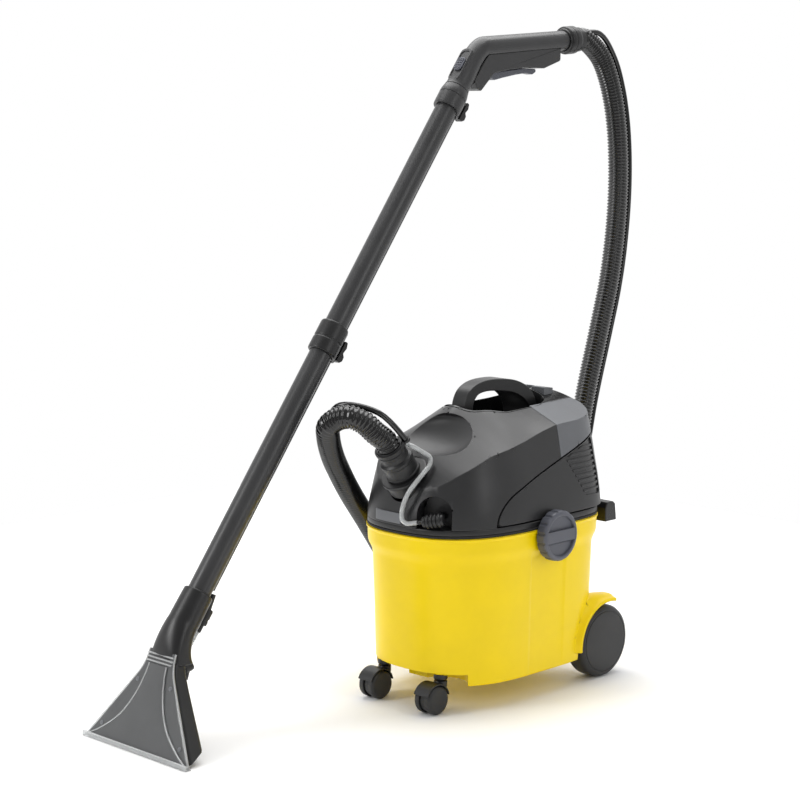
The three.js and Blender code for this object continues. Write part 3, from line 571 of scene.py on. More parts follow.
# ---- container
RIM_HALF, RIM_FRONT, RIM_REAR, MIDDLE = 134, -198, 160, -30
BLUNT_FRONT = 2.56
WHEEL_Z, WHEEL_OUTER, WHEEL_WIDTH = 58, 121.4, 36
WELL_RADIUS, WELL_INNER = 66, 78
FENDER_FROM, FENDER_TURN, FENDER_FADE, TIP_FLARE = 76, 108, 40, 0.35
AXLE_BORE, STEM_BORE, LOCK_BORE, BOSS_RADIUS = 4.3, 9.3, 7.3, 13
KNOB_Y, KNOB_Z, KNOB_RADIUS, KNOB_THICK, KNOB_INNER = 6, 256, 39, 17.6, 134.9
CASTER_X, CASTER_Y, CASTER_TRAIL, CASTER_RADIUS = 59.5, -162, 20, 22


def oval(z, half, front, rear, blunt_rear=5, inset=0, count=320):
    """A rounded outline at one height: a blunt oval in front of its widest line, squarer behind it."""
    points = []
    for i in range(2401):
        t = 2 * math.pi * i / 2400
        exponent = 2 / (blunt_rear if math.sin(t) > 0 else BLUNT_FRONT)
        reach = rear - inset - MIDDLE if math.sin(t) > 0 else MIDDLE - front - inset
        points.append(Vector(((half - inset) * power(math.cos(t), exponent),
            MIDDLE + reach * power(math.sin(t), exponent), z)))
    return evenly(points, count + 1)[:-1]


# The container's levels: height, and share of the rim's size.
CONTAINER_LEVELS = [(40, 0.905), (40.7, 0.911), (42.4, 0.915), (45, 0.917), (60, 0.92), (64, 0.9205),
    (100, 0.926), (137, 0.93), (180, 0.9385), (215, 0.945), (222, 0.9465), (227, 0.950), (231, 0.957),
    (235, 0.967), (239, 0.978), (243, 0.9845), (248, 0.987), (261, 0.989), (262.4, 0.991),
    (263.6, 0.996), (264.6, 0.9995), (266, 1), (267.5, 0.9985), (268, 0.996)]
PANEL_FROM, PANEL_TO, PANEL_DEEP = -33, 44.5, 1.5


def side_panel(point):
    """Sets a shallow upright panel into each side wall, below the turning lock."""
    width = smooth((point.y - PANEL_FROM) / 3 + 0.5) * smooth((PANEL_TO - point.y) / 3 + 0.5)
    height = smooth((point.z - 44) / 8) * smooth((236 - point.z) / 9)
    point.x -= math.copysign(PANEL_DEEP * width * height, point.x)
    return point


def container_ring(z, share, inset=0, count=320):
    return oval(z, RIM_HALF * share, RIM_FRONT * share, RIM_REAR * share, inset=inset, count=count)


def wells(margin=0.0):
    parts = [block(-100, 100, 126 - margin, 240, 20, 80 + margin)]
    for _, s in SIDES:
        x0, x1 = sorted((s * (WELL_INNER - margin), s * 170))
        r = WELL_RADIUS + margin
        parts.append(pin(x0, x1, AXLE_Y, WHEEL_Z, r, sides=96))
        parts.append(block(x0, x1, AXLE_Y - r, 240, 10, WHEEL_Z))
        parts.append(block(x0, x1, AXLE_Y, 240, 10, WHEEL_Z + r))
    return join(*parts)


def front_recess(margin=0.0):
    top, r = 58 + margin, 42 + margin
    rooms = [post(s * CASTER_X, CASTER_Y, 0, top, r, sides=72) for _, s in SIDES]
    return join(block(-200, 200, -300, -150 + margin, 0, top), *rooms)


def fender(s):
    """A flared arch over the wheel, which grows out of the side wall."""
    section = [(100, 66), (128.6, 66), (129.4, 66.8), (129.4, 69.6), (128, 71), (124.5, 73.4),
        (120.5, 77.5), (117.5, 83), (112, 86), (100, 86)]
    rings = []
    for i in range(37):
        degrees = FENDER_FROM + FENDER_TURN * i / 36
        a = math.radians(degrees)
        flare = TIP_FLARE + (1 - TIP_FLARE) * smooth((degrees - FENDER_FROM - 8) / FENDER_FADE)
        radii = [(x, r if r <= 71 else 71 + (r - 71) * flare) for x, r in section]
        rings.append([Vector((s * x, AXLE_Y + r * math.cos(a), WHEEL_Z + r * math.sin(a)))
            for x, r in radii])
    return loft(rings)


def container():
    body = loft([[side_panel(p) for p in container_ring(z, share)] for z, share in CONTAINER_LEVELS])
    bosses = [post(s * CASTER_X, CASTER_Y, 57, 90, BOSS_RADIUS) for _, s in SIDES]
    core_shape = loft([container_ring(z, share, inset=1.5, count=160) for z, share in CONTAINER_LEVELS])
    bosses = common(join(*bosses), core_shape)
    body = cut(body, wells(), front_recess())
    body = join(body, fender(-1), fender(1))
    inside = [(44, 0.917), (137, 0.93), (215, 0.943), (228, 0.952), (240, 0.975), (252, 0.986),
        (280, 0.997)]
    hollow = loft([container_ring(z, share, inset=4.2, count=160) for z, share in inside])
    body = cut(body, cut(hollow, wells(4.5), front_recess(3)))
    body = join(body, bosses)
    for _, s in SIDES:
        body = join(body, block(s * 70 - 4, s * 70 + 4, 118, 168, 46, 86))
        body = cut(body, pin(s * 60, s * 80, AXLE_Y, WHEEL_Z, AXLE_BORE))
        body = cut(body, post(s * CASTER_X, CASTER_Y, 50, 86, STEM_BORE),
            pin(s * 105, s * 150, KNOB_Y, KNOB_Z, LOCK_BORE))
    return finish(body, "container_shell", "machine", YELLOW, "container", bevel=1.3)


def rear_bracket():
    rail = along_x(rounded([(160.6, 271), (164.4, 280), (180, 280), (185, 276), (188.5, 249),
        (160.6, 249)], 2), -112, 112)
    rail = cut(rail, along_x([(167, 240), (167, 274), (180, 270), (184, 240)], -102, 102))
    return finish_black(rail, "bracket_rail", "machine", "rear_bracket", bevel=2)


# ---- wheels
def rear_wheel(side, s):
    w, r, bore = WHEEL_WIDTH, 58, 4.08
    profile = [(0, w + 0.6), (22, w + 0.5), (42, w - 0.3), (47.2, w - 0.9), (47.8, w - 2),
        (48.8, w - 2.1), (49.6, w - 1.2), (53, w - 2.2), (56, w - 4.6), (57.6, w - 8), (r, w - 12),
        (r, 7), (57, 3), (54, 0.4), (52, 0), (48, 0), (45, 8), (30, 9), (16, 8), (14, 0), (bore, 0),
        (bore, w - 8), (0, w - 8)]
    start = (s * (WHEEL_OUTER - w), AXLE_Y, WHEEL_Z)
    wheel = lathe(profile, start, (s, 0, 0), sides=112)
    finish(wheel, f"wheel_{side}", f"rear_wheel_{side}", WHEEL, f"rear_wheel_{side}",
        bevel=0.5)


def caster(side, s):
    x, axle_y, r = s * CASTER_X, CASTER_Y - CASTER_TRAIL, CASTER_RADIUS
    hood = []
    for radius, a0, a1 in ((r + 1.2, 12, 158), (r + 3.4, 158, 12)):
        for i in range(25):
            a = math.radians(a0 + (a1 - a0) * i / 24)
            hood.append((axle_y + radius * math.cos(a), r + radius * math.sin(a)))
    web = pin(x - 5, x + 5, axle_y, r, r - 3)
    arm = [(CASTER_Y + 8, 46), (CASTER_Y - 7, 46.5), (axle_y + 2, r + 22), (axle_y - 12, r + 12),
        (axle_y, r), (axle_y + 14, r), (axle_y + 20, r + 8), (CASTER_Y + 9, 33)]
    fork = join(web, along_x(rounded(arm, 4), x - 5, x + 5), along_x(hood, x - 14.5, x + 14.5),
        post(x, CASTER_Y, 38, 47.5, 10), post(x, CASTER_Y, 42, 82.5, 5))
    fork = cut(fork, pin(x - 20, x + 20, axle_y, r, 3.3))
    finish_black(fork, f"caster_frame_{side}", f"caster_{side}", f"caster_fork_{side}", bevel=0.7)
    sleeve = join(post(x, CASTER_Y, 53, 85.5, 9), post(x, CASTER_Y, 50, 57.6, 10.5))
    sleeve = cut(sleeve, post(x, CASTER_Y, 40, 83, 5.1))
    finish_black(sleeve, f"stem_sleeve_{side}", "machine", f"caster_socket_{side}", bevel=0.6)
    for edge, e in (("inner", -s), ("outer", s)):
        profile = [(0, 10.2), (9, 10.3), (13, 11), (16, 11), (17.4, 10.4), (18, 10.5), (20.6, 9.2),
            (21.7, 7.4), (r, 5.5), (r, 1.8), (21.4, 0.4), (20.5, 0), (3.1, 0), (3.1, 8.4), (0, 8.4)]
        wheel = lathe(profile, (x + e * 5.5, axle_y, r), (e, 0, 0), sides=72)
        finish(wheel, f"roller_{side}_{edge}", f"roller_{side}_{edge}", WHEEL,
            f"caster_wheel_{side}_{edge}", bevel=0.3)


# ---- turning locks
def lock(side, s):
    t, r = KNOB_THICK, KNOB_RADIUS
    start = Vector((s * KNOB_INNER, KNOB_Y, KNOB_Z))
    profile = [(0, 0), (r - 1, 0), (r, 1), (r, t - 5), (r - 0.8, t - 2.4), (r - 2.6, t - 0.8),
        (r - 5, t), (r - 6.6, t), (r - 8, t - 1), (r - 9, t - 4.5), (0, t - 4.5)]
    knob = lathe(profile, start, (s, 0, 0), sides=120)
    x0, x1 = sorted((s * (KNOB_INNER + t - 6), s * (KNOB_INNER + t - 0.3)))
    reach = r - 6
    bar = rounded_box(KNOB_Y - reach, KNOB_Y + reach, KNOB_Z - 9.5, KNOB_Z + 9.5, 3)
    knob = join(knob, along_x(bar, x0, x1), pin(s * 123.5, s * (KNOB_INNER + 1), KNOB_Y, KNOB_Z, 7))
    notches = []
    for i in range(16):
        a = math.pi * (i + 0.5) / 8
        y, z = KNOB_Y + (r + 1.4) * math.cos(a), KNOB_Z + (r + 1.4) * math.sin(a)
        notches.append(pin(s * 130, s * (KNOB_INNER + t - 1.6), y, z, 3, sides=20))
    knob = cut(knob, *notches)
    finish(knob, f"lock_{side}_grip", f"lock_{side}", KNOB, f"lock_knob_{side}",
        bevel=0.7)


container()
rear_bracket()
for side, s in SIDES:
    rear_wheel(side, s)
    caster(side, s)
    lock(side, s)


# ---- suction head
# The head's wall: height, half width, front and rear. It draws in as it rises.
WALL_LEVELS = [(281.3, 130.4, -196.4, 162.4), (282.2, 131, -197, 163), (300, 129.5, -195, 162),
    (318, 127, -190.5, 161), (335, 124, -186.5, 160), (355, 119.5, -182, 159), (375, 115.5, -179, 158),
    (395, 112, -176, 156), (415, 108, -173, 154), (440, 104, -170, 150), (470, 99, -167, 145)]
# The crown over it: along Y, the height of its crest, and how steeply it falls off to the sides.
CREST = [(-270, 225, 0.8), (-200, 322, 0.8), (-190, 338, 0.85), (-176, 357, 0.85), (-153, 381, 0.78),
    (-127, 403, 0.85), (-105, 420, 0.95), (-86, 436, 1.2), (-68, 449, 1.42), (-50, 458.5, 1.55),
    (-30, 461.5, 1.53), (0, 460, 1.32), (24, 458, 1.15), (50, 457, 1.03), (100, 458, 1.03),
    (150, 460, 1.05), (240, 460, 1.05)]
FALL, CREST_ROUND = 0.42, 7.8
# The rounding at the rear: height and rear.
REAR_LEVELS = [(200, 178), (300, 174), (355, 168), (375, 165), (395, 161), (415, 156), (432, 150.5),
    (443, 145), (450, 139), (455, 131), (460, 119), (466, 96)]
SEAM = [(-107, 281), (-105, 292), (-99, 303), (-88, 314.5), (-74, 324), (-52, 333.5), (-20, 345.5),
    (44, 366), (126, 391), (210, 416)]
WALL, SPINE_THICK, SEAM_HALF = 3, 2.0, 1.3


def levels(table, steps=4):
    """Smooth rows between a table's rows, spaced by their shape."""
    rows = []
    for i in range(len(table) - 1):
        p0, p1, p2, p3 = (table[min(max(i + k, 0), len(table) - 1)] for k in (-1, 0, 1, 2))
        for k in range(steps):
            t = k / steps
            rows.append([0.5 * (2 * b + (c - a) * t + (2 * a - 5 * b + 4 * c - d) * t ** 2
                + (3 * b - a - 3 * c + d) * t ** 3) for a, b, c, d in zip(p0, p1, p2, p3)])
    return [*rows, list(table[-1])]


def crown(drop=0.0):
    rings = []
    for y, height, steep in levels(CREST, 8):
        ring = [Vector((170, y, 190)), Vector((-170, y, 190))]
        for i in range(-56, 57):
            x = 3 * i
            fall = steep * (math.hypot(FALL * x, CREST_ROUND) - CREST_ROUND)
            ring.append(Vector((x, y, max(height - fall - drop, 192))))
        rings.append(ring)
    return loft(rings)


def rear_round(inset=0.0, drop=0.0):
    rings = []
    for z, rear in levels(REAR_LEVELS, 4):
        corner = [(-200, -300), (200, -300), (200, rear - inset), (-200, rear - inset)]
        rings.append([Vector((x, y, z - drop)) for x, y in corner])
    return loft(rings)


def head_bulk(inset=0.0, drop=0.0, bottom=None, count=288):
    walls = [(z - drop, *rest) for z, *rest in levels(WALL_LEVELS, 3)]
    if bottom is not None:
        walls.insert(0, (bottom, *walls[0][1:]))
    body = loft([oval(*row, blunt_rear=6, inset=inset, count=count) for row in walls])
    return common(body, crown(drop), rear_round(inset, drop))


def head_inside(inset=WALL, drop=2.6):
    return head_bulk(inset, drop, bottom=200, count=144)


def tank_region(margin):
    """Everything below the tank's seam: up steeply in front, then rising gently to the rear."""
    edge = spline([(0, y, z) for y, z in SEAM], 5)
    moved = []
    for p, tangent, _, _ in transport(edge):
        moved.append((p.y - margin * tangent.z, p.z + margin * tangent.y))
    base = 281.6 - margin
    moved[0] = (moved[0][0], base)
    return along_x([*moved, (210, base)], -170, 170)


def core(margin):
    return block(-71.4 - margin, 71.4 + margin, -260, 117.4 + margin, 200, 470)


def pocket(margin=0.0):
    """The well under the handle, where the fingers go. It is widest behind the handle's middle."""
    outline = [(-30, -66), (30, -66), (53, -12), (53, 62), (40, 94), (-40, 94), (-53, 62), (-53, -12)]
    ring = rounded(outline, 34, 8)
    middle = Vector((0, 14))
    rows = [(414 - margin, -5), (414.8 - margin, -2.4), (417.5 - margin, -0.4), (430, 0.4), (500, 6)]
    return loft([[Vector((*(middle + (p - middle) * (1 + (grow + margin) / 55)), z)) for p in ring]
        for z, grow in rows])


def spine(margin=0.0):
    """The glossy cap behind the handle, which also lines the pocket."""
    deep = SPINE_THICK + margin
    cap = cut(block(-50 - margin, 50 + margin, 45 - margin, 190, 395, 490), head_inside(deep, deep))
    return join(cap, pocket(2.2 + margin))


def coupling_bay(margin=0.0):
    out = Vector((math.sin(math.radians(21)), -math.cos(math.radians(21)), 0))
    across = Vector((out.y, -out.x, 0))
    centre, r = Vector((63, -180, 303)), 27 + margin
    arch = [(r * math.cos(math.pi * i / 32), r * math.sin(math.pi * i / 32)) for i in range(33)]
    arch += [(-r, -60), (r, -60)]
    rings = []
    for reach in (-27 - margin, 30):
        rings.append([centre + reach * out + u * across + Vector((0, 0, w)) for u, w in arch])
    return loft(rings)


def scoop(margin=0.0):
    return ball((8, -112, 409), (72 + margin, 42 + margin, 17 + margin), tilt=38)


def panel_block(margin=0.0):
    return block(51 - margin, 170, 44 - margin, 200, 300, 500)


SWITCH_X, SWITCH_Y = 19, 112


def switch_hole(s, margin):
    return block(s * SWITCH_X - 13 - margin, s * SWITCH_X + 13 + margin, SWITCH_Y - 11 - margin,
        SWITCH_Y + 11 + margin, 440, 470)


def head_shell():
    body = cut(head_bulk(), head_inside(), tank_region(SEAM_HALF))
    bay = cut(common(head_bulk(), core(0)), common(core(-WALL), head_inside()),
        block(-170, 170, -260, -104, 200, 460))
    body = join(body, bay)
    for liner in (pocket(5), coupling_bay(2.5), scoop(2.5), rod(port_at(-20), port_at(6), 36, sides=96)):
        body = join(body, common(head_bulk(), liner))
    panel_room = cut(panel_block(0.45), head_inside(WALL + 0.3, 3.0))
    body = cut(body, coupling_bay(), scoop(), rod(port_at(-60), port_at(40), 33.3, sides=96),
        rod(coupling_at(-16), coupling_at(6), 6.5), cut(tank_region(SEAM_HALF), core(0)), panel_room,
        spine(0.35), switch_hole(-1, 0.6), switch_hole(1, 0.6))
    return finish(body, "head_cover", "head", HEAD, "head_shell", bevel=0.8, angle=28)


def head_spine():
    body = cut(common(head_bulk(), spine()), pocket(), switch_hole(-1, 0.6), switch_hole(1, 0.6))
    return finish(body, "head_spine", "head", GLOSS, bevel=0.6, angle=28)


def control_panel():
    panel = cut(common(head_bulk(), panel_block(-0.3)), head_inside(), tank_region(SEAM_HALF))
    return finish(panel, "panel_cover", "head", PANEL, "control_panel", bevel=0.6,
        angle=28)


# ---- fresh water tank
GRIP_ZONE = [(53, 366), (130, 390), (137, 301), (91, 304.5)]
GRIP_RIBS, GRIP_RIB_LOW, GRIP_RIB_PITCH, GRIP_RIB_HIGH = 9, 309, 8.2, 3.6


def grip_zone(s, grow=0.0):
    x0, x1 = sorted((s * 95, s * 150))
    middle = Vector((sum(y for y, _ in GRIP_ZONE) / 4, sum(z for _, z in GRIP_ZONE) / 4))
    outline = [middle + (Vector(p) - middle) * (1 + grow / 40) for p in GRIP_ZONE]
    return along_x(rounded(outline, 6), x0, x1)


def tank():
    body = cut(common(head_bulk(), tank_region(-SEAM_HALF)), core(0.6))
    hollow = cut(common(head_inside(7.5, 7.5), tank_region(-8), block(-170, 170, -200, 200, 285.2, 460)),
        core(8))
    body = cut(body, hollow, post(0, 139, 340, 430, 14))
    for _, s in SIDES:
        body = cut(body, cut(grip_zone(s), head_inside(2.4, 0)))
        heights = [GRIP_RIB_LOW + GRIP_RIB_PITCH * k for k in range(GRIP_RIBS)]
        ribs = [block(*sorted((s * 95, s * 150)), 40, 150, z, z + GRIP_RIB_HIGH) for z in heights]
        ribs = join(*ribs)
        body = join(body, common(ribs, grip_zone(s, -2.4), cut(head_bulk(0.5, 0), head_inside(4, 0))))
    return finish(body, "water_tank", "tank", HEAD, "fresh_water_tank", bevel=0.7,
        angle=30)


# ---- handle, base, small parts of the head
def carrying_handle():
    outer = spline([(0, -63, 416), (0, -63, 440), (0, -60, 455), (0, -52, 468), (0, -38, 477),
        (0, -18, 482), (0, 14, 482.6), (0, 44, 478.5), (0, 66, 468), (0, 82, 451), (0, 90, 430),
        (0, 91, 416)], 8)
    inner = spline([(0, 73, 416), (0, 71, 432), (0, 60, 447), (0, 42, 458), (0, 18, 463), (0, -14, 465),
        (0, -32, 461), (0, -41, 450), (0, -44, 434), (0, -44, 416)], 8)
    bar = along_x([(p.y, p.z) for p in outer + inner], -14, 14)
    edges = bar.modifiers.new("bevel", "BEVEL")
    edges.width, edges.segments, edges.limit_method = 5 * MM, 5, "ANGLE"
    edges.angle_limit = math.radians(60)
    bake(bar)
    for vert in bar.data.vertices:
        along = (vert.co.y - ORIGIN.y) / MM
        vert.co.x = ORIGIN.x + (vert.co.x - ORIGIN.x) * (1 + 1.1 * smooth((along + 10) / 90))
    bar = cut(bar, cut(head_bulk(-0.3, -0.3), pocket()))
    return finish_black(bar, "handle", "head", "carrying_handle", bevel=0)


def oval_stack(size, rows, blunt_rear=5, count=240):
    """Ovals of one half width, front and rear over each other: height and inset."""
    return loft([oval(z, *size, blunt_rear=blunt_rear, inset=inset, count=count) for z, inset in rows])


def head_base():
    size = (132, -196.5, 160)
    plate = oval_stack(size, [(272.4, 0.6), (273, 0), (279, 0), (280.6, 1), (281, 2)])
    skirt = cut(oval_stack(size, [(246, 25), (273, 24)]), oval_stack(size, [(240, 28), (272.4, 28)]))
    body = cut(join(plate, skirt), post(0, -148, 230, 300, 27), post(0, 20, 230, 300, 34),
        post(0, -60, 230, 300, 8))
    return finish_black(body, "base_plate", "head", "head_base", bevel=0)


def rim_gasket():
    size = (133, -197, 159)
    seal = cut(oval_stack(size, [(268.3, 0.5), (269.2, 0), (271.2, 0), (272.1, 0.5)]),
        oval_stack(size, [(260, 4), (280, 4)]))
    return finish(seal, "rim_seal", "head", RUBBER, "rim_gasket", bevel=0)


def port_collar():
    profile = [(25.6, 0), (33, 0), (33, 18.5), (36.2, 18.8), (36.8, 20), (36.4, 21.8), (34.6, 23),
        (27.2, 23), (25.8, 22.2)]
    ring = lathe(profile, port_at(-18), PORT_AXIS, closed=True, sides=96)
    return finish_black(ring, "port_ring", "head", "port_collar", bevel=0.4)


def spray_coupling():
    profile = [(0, 0), (3, 0), (4.4, 4.5), (3.6, 5), (4.4, 8), (8.2, 8.6), (8.8, 9.4), (8.8, 13),
        (8, 14)]
    for i in range(4):
        z = 15 + 6 * i
        profile += [(10.4, z), (11, z + 0.6), (11, z + 3), (10.2, z + 3.8), (9, z + 4.2), (9, z + 5.6)]
    profile += [(8.6, 40), (8, 41), (0, 41)]
    root = coupling_at(24)
    body = join(lathe(profile, coupling_at(0), COUPLING_AXIS, sides=40),
        rod(root, root + Vector((-4, 27, 4)), 6))
    body = cut(body, cut(head_bulk(), coupling_bay(-0.3)))
    return finish_black(body, "coupling_plug", "head", "spray_coupling", bevel=0.35)


def label_plate():
    size = (131, -197, 163)
    rows = [(284, -0.7), (284.5, -1.2), (299.5, -1.2), (300, -0.7)]
    plate = cut(oval_stack(size, rows, 6, 360), oval_stack(size, [(280, 0.4), (310, 0.4)], 6, 360))
    plate = common(plate, block(-46, 10, -260, -100, 280, 310))
    return finish(plate, "front_label", "head", PANEL, "label_plate", bevel=0)


def switch(side, s):
    x = s * SWITCH_X
    outline = rounded([(SWITCH_Y - 11, 446), (SWITCH_Y + 11, 446), (SWITCH_Y + 11, 459.5),
        (SWITCH_Y, 461.4), (SWITCH_Y - 11, 462.2)], 1.2)
    rocker = along_x(outline, x - 13, x + 13)
    finish(rocker, f"rocker_{side}", f"switch_{side}", PANEL, f"switch_{side}",
        bevel=0.8)


for make_part in (head_shell, head_spine, control_panel, tank, carrying_handle, head_base, rim_gasket,
        port_collar, spray_coupling, label_plate):
    make_part()
for side, s in SIDES:
    switch(side, s)


# ---- wand
WAND_X, WAND_FOOT, LIP_HALF = -110, -607, 117
WAND_DIR = Vector((0, 0.5991, 0.8007))
BACK = Vector((0, 0.8007, -0.5991))
WAND_ZERO = Vector((WAND_X, -644.5, 0))
TUBE_RADIUS, SLIDER_MIDDLE = 17.5, 1193
# The nozzle's outline and that of its raised duct: height and half width.
FAN_LEVELS = [(1.5, 115.5), (14, 106), (60, 71), (95, 44.5), (108, 35.5), (122, 30)]
DUCT_LEVELS = [(4, 110), (14, 90), (40, 54), (70, 33), (100, 22), (118, 19)]


def wand_at(distance):
    return WAND_ZERO + distance * WAND_DIR


def beside(distance, back, across=0):
    """A point beside the tube's axis: back is towards the machine."""
    return wand_at(distance) + back * BACK + Vector((across, 0, 0))


def fan_front(z):
    return WAND_FOOT + 0.38 * z


def fan_back(z):
    return WAND_FOOT + 37 + 0.28 * z


def fan_ring(z, half, y0, y1, blunt):
    points = []
    for i in range(1201):
        t = 2 * math.pi * i / 1200
        points.append(Vector((WAND_X + half * power(math.cos(t), 2 / blunt),
            (y0 + y1) / 2 + (y1 - y0) / 2 * power(math.sin(t), 2 / blunt), z)))
    return evenly(points, 97)[:-1]


def fan_slab(rows, front, back, blunt):
    """A slab that follows the fan's slope, between two distances behind its front face."""
    return loft([fan_ring(z, half, fan_front(z) + front, fan_front(z) + back, blunt)
        for z, half in rows])


def socket_ring(distance, radius):
    return [wand_at(distance) + radius * (c * Vector((1, 0, 0)) + s * BACK) for c, s in circle(96)]


def neck_ring(share):
    """From the top of the fan to the round socket of the tube."""
    low, high = fan_ring(118, 32, fan_front(118) + 3.2, -519, 4), socket_ring(214, 23.4)
    bow = Vector((0, -7 * math.sin(math.pi * share), 0))
    return [p.lerp(q, smooth(share) * 0.5 + share * 0.5) + bow for p, q in zip(low, high)]


def nozzle_body():
    rows = levels(FAN_LEVELS, 4)
    fan = loft([fan_ring(z, half - 0.4, fan_front(z) + 3.2, fan_back(z), 8) for z, half in rows])
    socket = [socket_ring(214 + at, radius)
        for at, radius in ((5, 23.4), (20, 23), (40, 22.5), (46.6, 22.2), (48, 20.8))]
    mouth = along_x([(-625, -10), (-625, 0.5), (-604, 1.5), (-560, 20.5), (-560, -10)], -260, 40)
    duct = fan_slab([(-6, 108), (14, 88), (40, 52), (70, 31), (100, 19), (116, 15)], 2, 14, 3)
    saddle = block(WAND_X - 9, WAND_X + 9, -560, -521, 90, 111)
    body = join(fan, loft([neck_ring(k / 14) for k in range(15)] + socket), saddle)
    body = cut(body, mouth, duct, rod(wand_at(236), wand_at(300), TUBE_RADIUS + 0.3))
    finish_black(body, "nozzle_shell", "wand", "nozzle_body", bevel=1.1)


COVER_LEVELS = [*FAN_LEVELS, (136, 28.5)]


def nozzle_cover():
    cover = join(fan_slab(levels(COVER_LEVELS, 4), 0.4, 3, 8),
        fan_slab(levels(DUCT_LEVELS, 5), -2.2, 2.5, 4))
    finish(cover, "nozzle_window", "wand", SMOKE, "nozzle_cover", bevel=0.5)


def edge_bead(name, rows, s, lift, radius):
    """A bright polished edge on the window."""
    line = spline([(WAND_X + s * half, fan_front(z) + lift, z) for z, half in rows], 6)
    finish_clear(sweep(line, radius, name, 12), name)


def nozzle_trim():
    for side, s in SIDES:
        edge_bead(f"duct_edge_{side}", DUCT_LEVELS, s, -1.8, 1.0)
        edge_bead(f"window_edge_{side}", COVER_LEVELS, s, 1.4, 1.4)
        for k, (z, half) in enumerate(((22, 88), (92, 37))):
            y = fan_front(z)
            screw = lathe([(0, 0), (3.4, 0), (3.4, 0.5), (2.6, 0.9), (1.2, 0.9), (1, 0.3), (0, 0.3)],
                (WAND_X + s * half, y + 0.5, z), (0, -1, 0.38), sides=28)
            finish(screw, f"window_screw_{side}_{k}", "wand", PANEL, bevel=0)
    for k in range(3):
        z = 121 + 5 * k
        rail = pin(WAND_X - 28, WAND_X + 28, fan_front(z) - 0.6, z, 1.3, sides=16)
        finish_clear(rail, f"window_rail_{k}")


def nozzle_lip():
    outline = rounded([(-612, 0), (-602, 0), (-602, 1.1), (-608.3, 1.2), (-608.3, 7), (-610, 7.6),
        (-612, 7)], 0.4)
    lip = along_x(outline, WAND_X - LIP_HALF, WAND_X + LIP_HALF)
    teeth = [block(WAND_X + x, WAND_X + x + 1.6, -613, -611.4, 0.8, 6.2) for x in range(-112, 112, 5)]
    finish_clear(cut(lip, *teeth), "suction_lip", "nozzle_lip")


def spray_parts():
    jet = join(lathe([(0, 0), (5, 0), (6.4, 1), (7, 3), (6.6, 12), (6, 15.8), (0, 15.8)],
        (WAND_X, -518.6, 101.7), (0, 15.6, 2.8)), post(WAND_X, -511, 103, 113, 4.5),
        lathe([(0, 0), (4.4, 0), (5, 1), (4, 15), (0, 15)], (WAND_X, -512, 101), (0, -3.5, -15)))
    finish_black(jet, "jet", "wand", "spray_jet", bevel=0.3)
    profile = [(0, 0), (4.5, 0), (4.5, 11.5), (7, 12), (7.5, 12.6), (7.5, 18), (6.8, 18.6), (6.8, 22),
        (7.5, 22.6), (7.5, 34), (6.6, 36), (0, 36)]
    valve = join(lathe(profile, beside(214, 31.5), WAND_DIR), rod(beside(247, 31), beside(272, 26), 4.3))
    finish_black(valve, "valve", "wand", "spray_valve", bevel=0.3)
    line = spline([beside(213.6, 31.5), beside(200, 31.5), beside(185, 31), (WAND_X, -510.4, 121),
        (WAND_X, -511, 113.4)], 8)
    finish_clear(sweep(line, 3, "tube", 16, bore=1.9), "nozzle_tube", "nozzle_spray_tube")


def line_rod(start, end, radius=5, back=TUBE_RADIUS + 1.5):
    return rod(beside(start, back), beside(end, back), radius, sides=28)


def suction_tube(name, node_name, start, end, line_start, line_end):
    body = join(rod(wand_at(start), wand_at(end), TUBE_RADIUS, sides=72), line_rod(line_start, line_end))
    body = cut(body, rod(wand_at(start - 5), wand_at(end + 5), TUBE_RADIUS - 2, sides=72))
    finish(body, name, "wand", TUBE, node_name, bevel=0.5)


def tube_collar():
    profile = [(17.8, 0), (21, 0), (22.2, 1.2), (22.5, 3), (22.5, 20), (21.6, 21), (21.6, 23),
        (22.5, 24), (22.5, 46), (22, 48.6), (20.6, 50), (17.8, 50)]
    body = lathe(profile, wand_at(666), WAND_DIR, closed=True, sides=72)
    body = join(body, line_rod(666, 716, 9, 18.5))
    body = cut(body, rod(wand_at(660), wand_at(720), 17.8, sides=72), line_rod(660, 722, 5.3))
    finish_black(body, "collar", "wand", "tube_collar", bevel=0.6)


def latch(name, node_name, start, end):
    """A spring lever on the back of a coupling, with a raised thumb pad."""
    outline = [(start, 28.2), (end, 28.2), (end, 33), (end - 8, 36), (start + 16, 34),
        (start + 12, 38.5), (start + 5, 39), (start, 35)]
    points = [beside(along, back) for along, back in rounded(outline, 1.6)]
    body = along_x([(p.y, p.z) for p in points], WAND_X - 6.5, WAND_X + 6.5)
    finish_black(body, name, "wand", node_name, bevel=1)


def grip_line():
    """The grip's middle line: up the wand, round the bend, and back to the hose."""
    corner = []
    start, end = wand_at(1194), grip_at(14)
    for k in range(13):
        t = k / 12
        corner.append(start.lerp(GRIP_BEND, t).lerp(GRIP_BEND.lerp(end, t), t))
    line = [wand_at(1118 + 3 * k) for k in range(25)] + corner
    return line + [grip_at(14 + 4 * k) for k in range(1, 49)] + [grip_at(GRIP_LENGTH)]


def grip_radius(at):
    if at < 46:
        return 22.5 - 3.4 * smooth((at - 26) / 20) - 0.6 * (1 - smooth(at / 2))
    return 19.1 - 2.1 * smooth((at - 60) / 50) - 0.5 * smooth((at - 150) / 120)


def grip_bulk(margin=0.0):
    bulk = sweep(grip_line(), lambda at: grip_radius(at) + margin, sides=64)
    return join(bulk, line_rod(1118 - margin, 1148, 9 + margin, 18.5))


def slider_block(length, half, low, high):
    """A block on the front face of the grip's neck, around the air slider."""
    outline = rounded_box(-half, half, -length / 2, length / 2, half * 0.9, 6)
    return loft([[beside(SLIDER_MIDDLE + p.y, -back, p.x) for p in outline] for back in (low, high)])


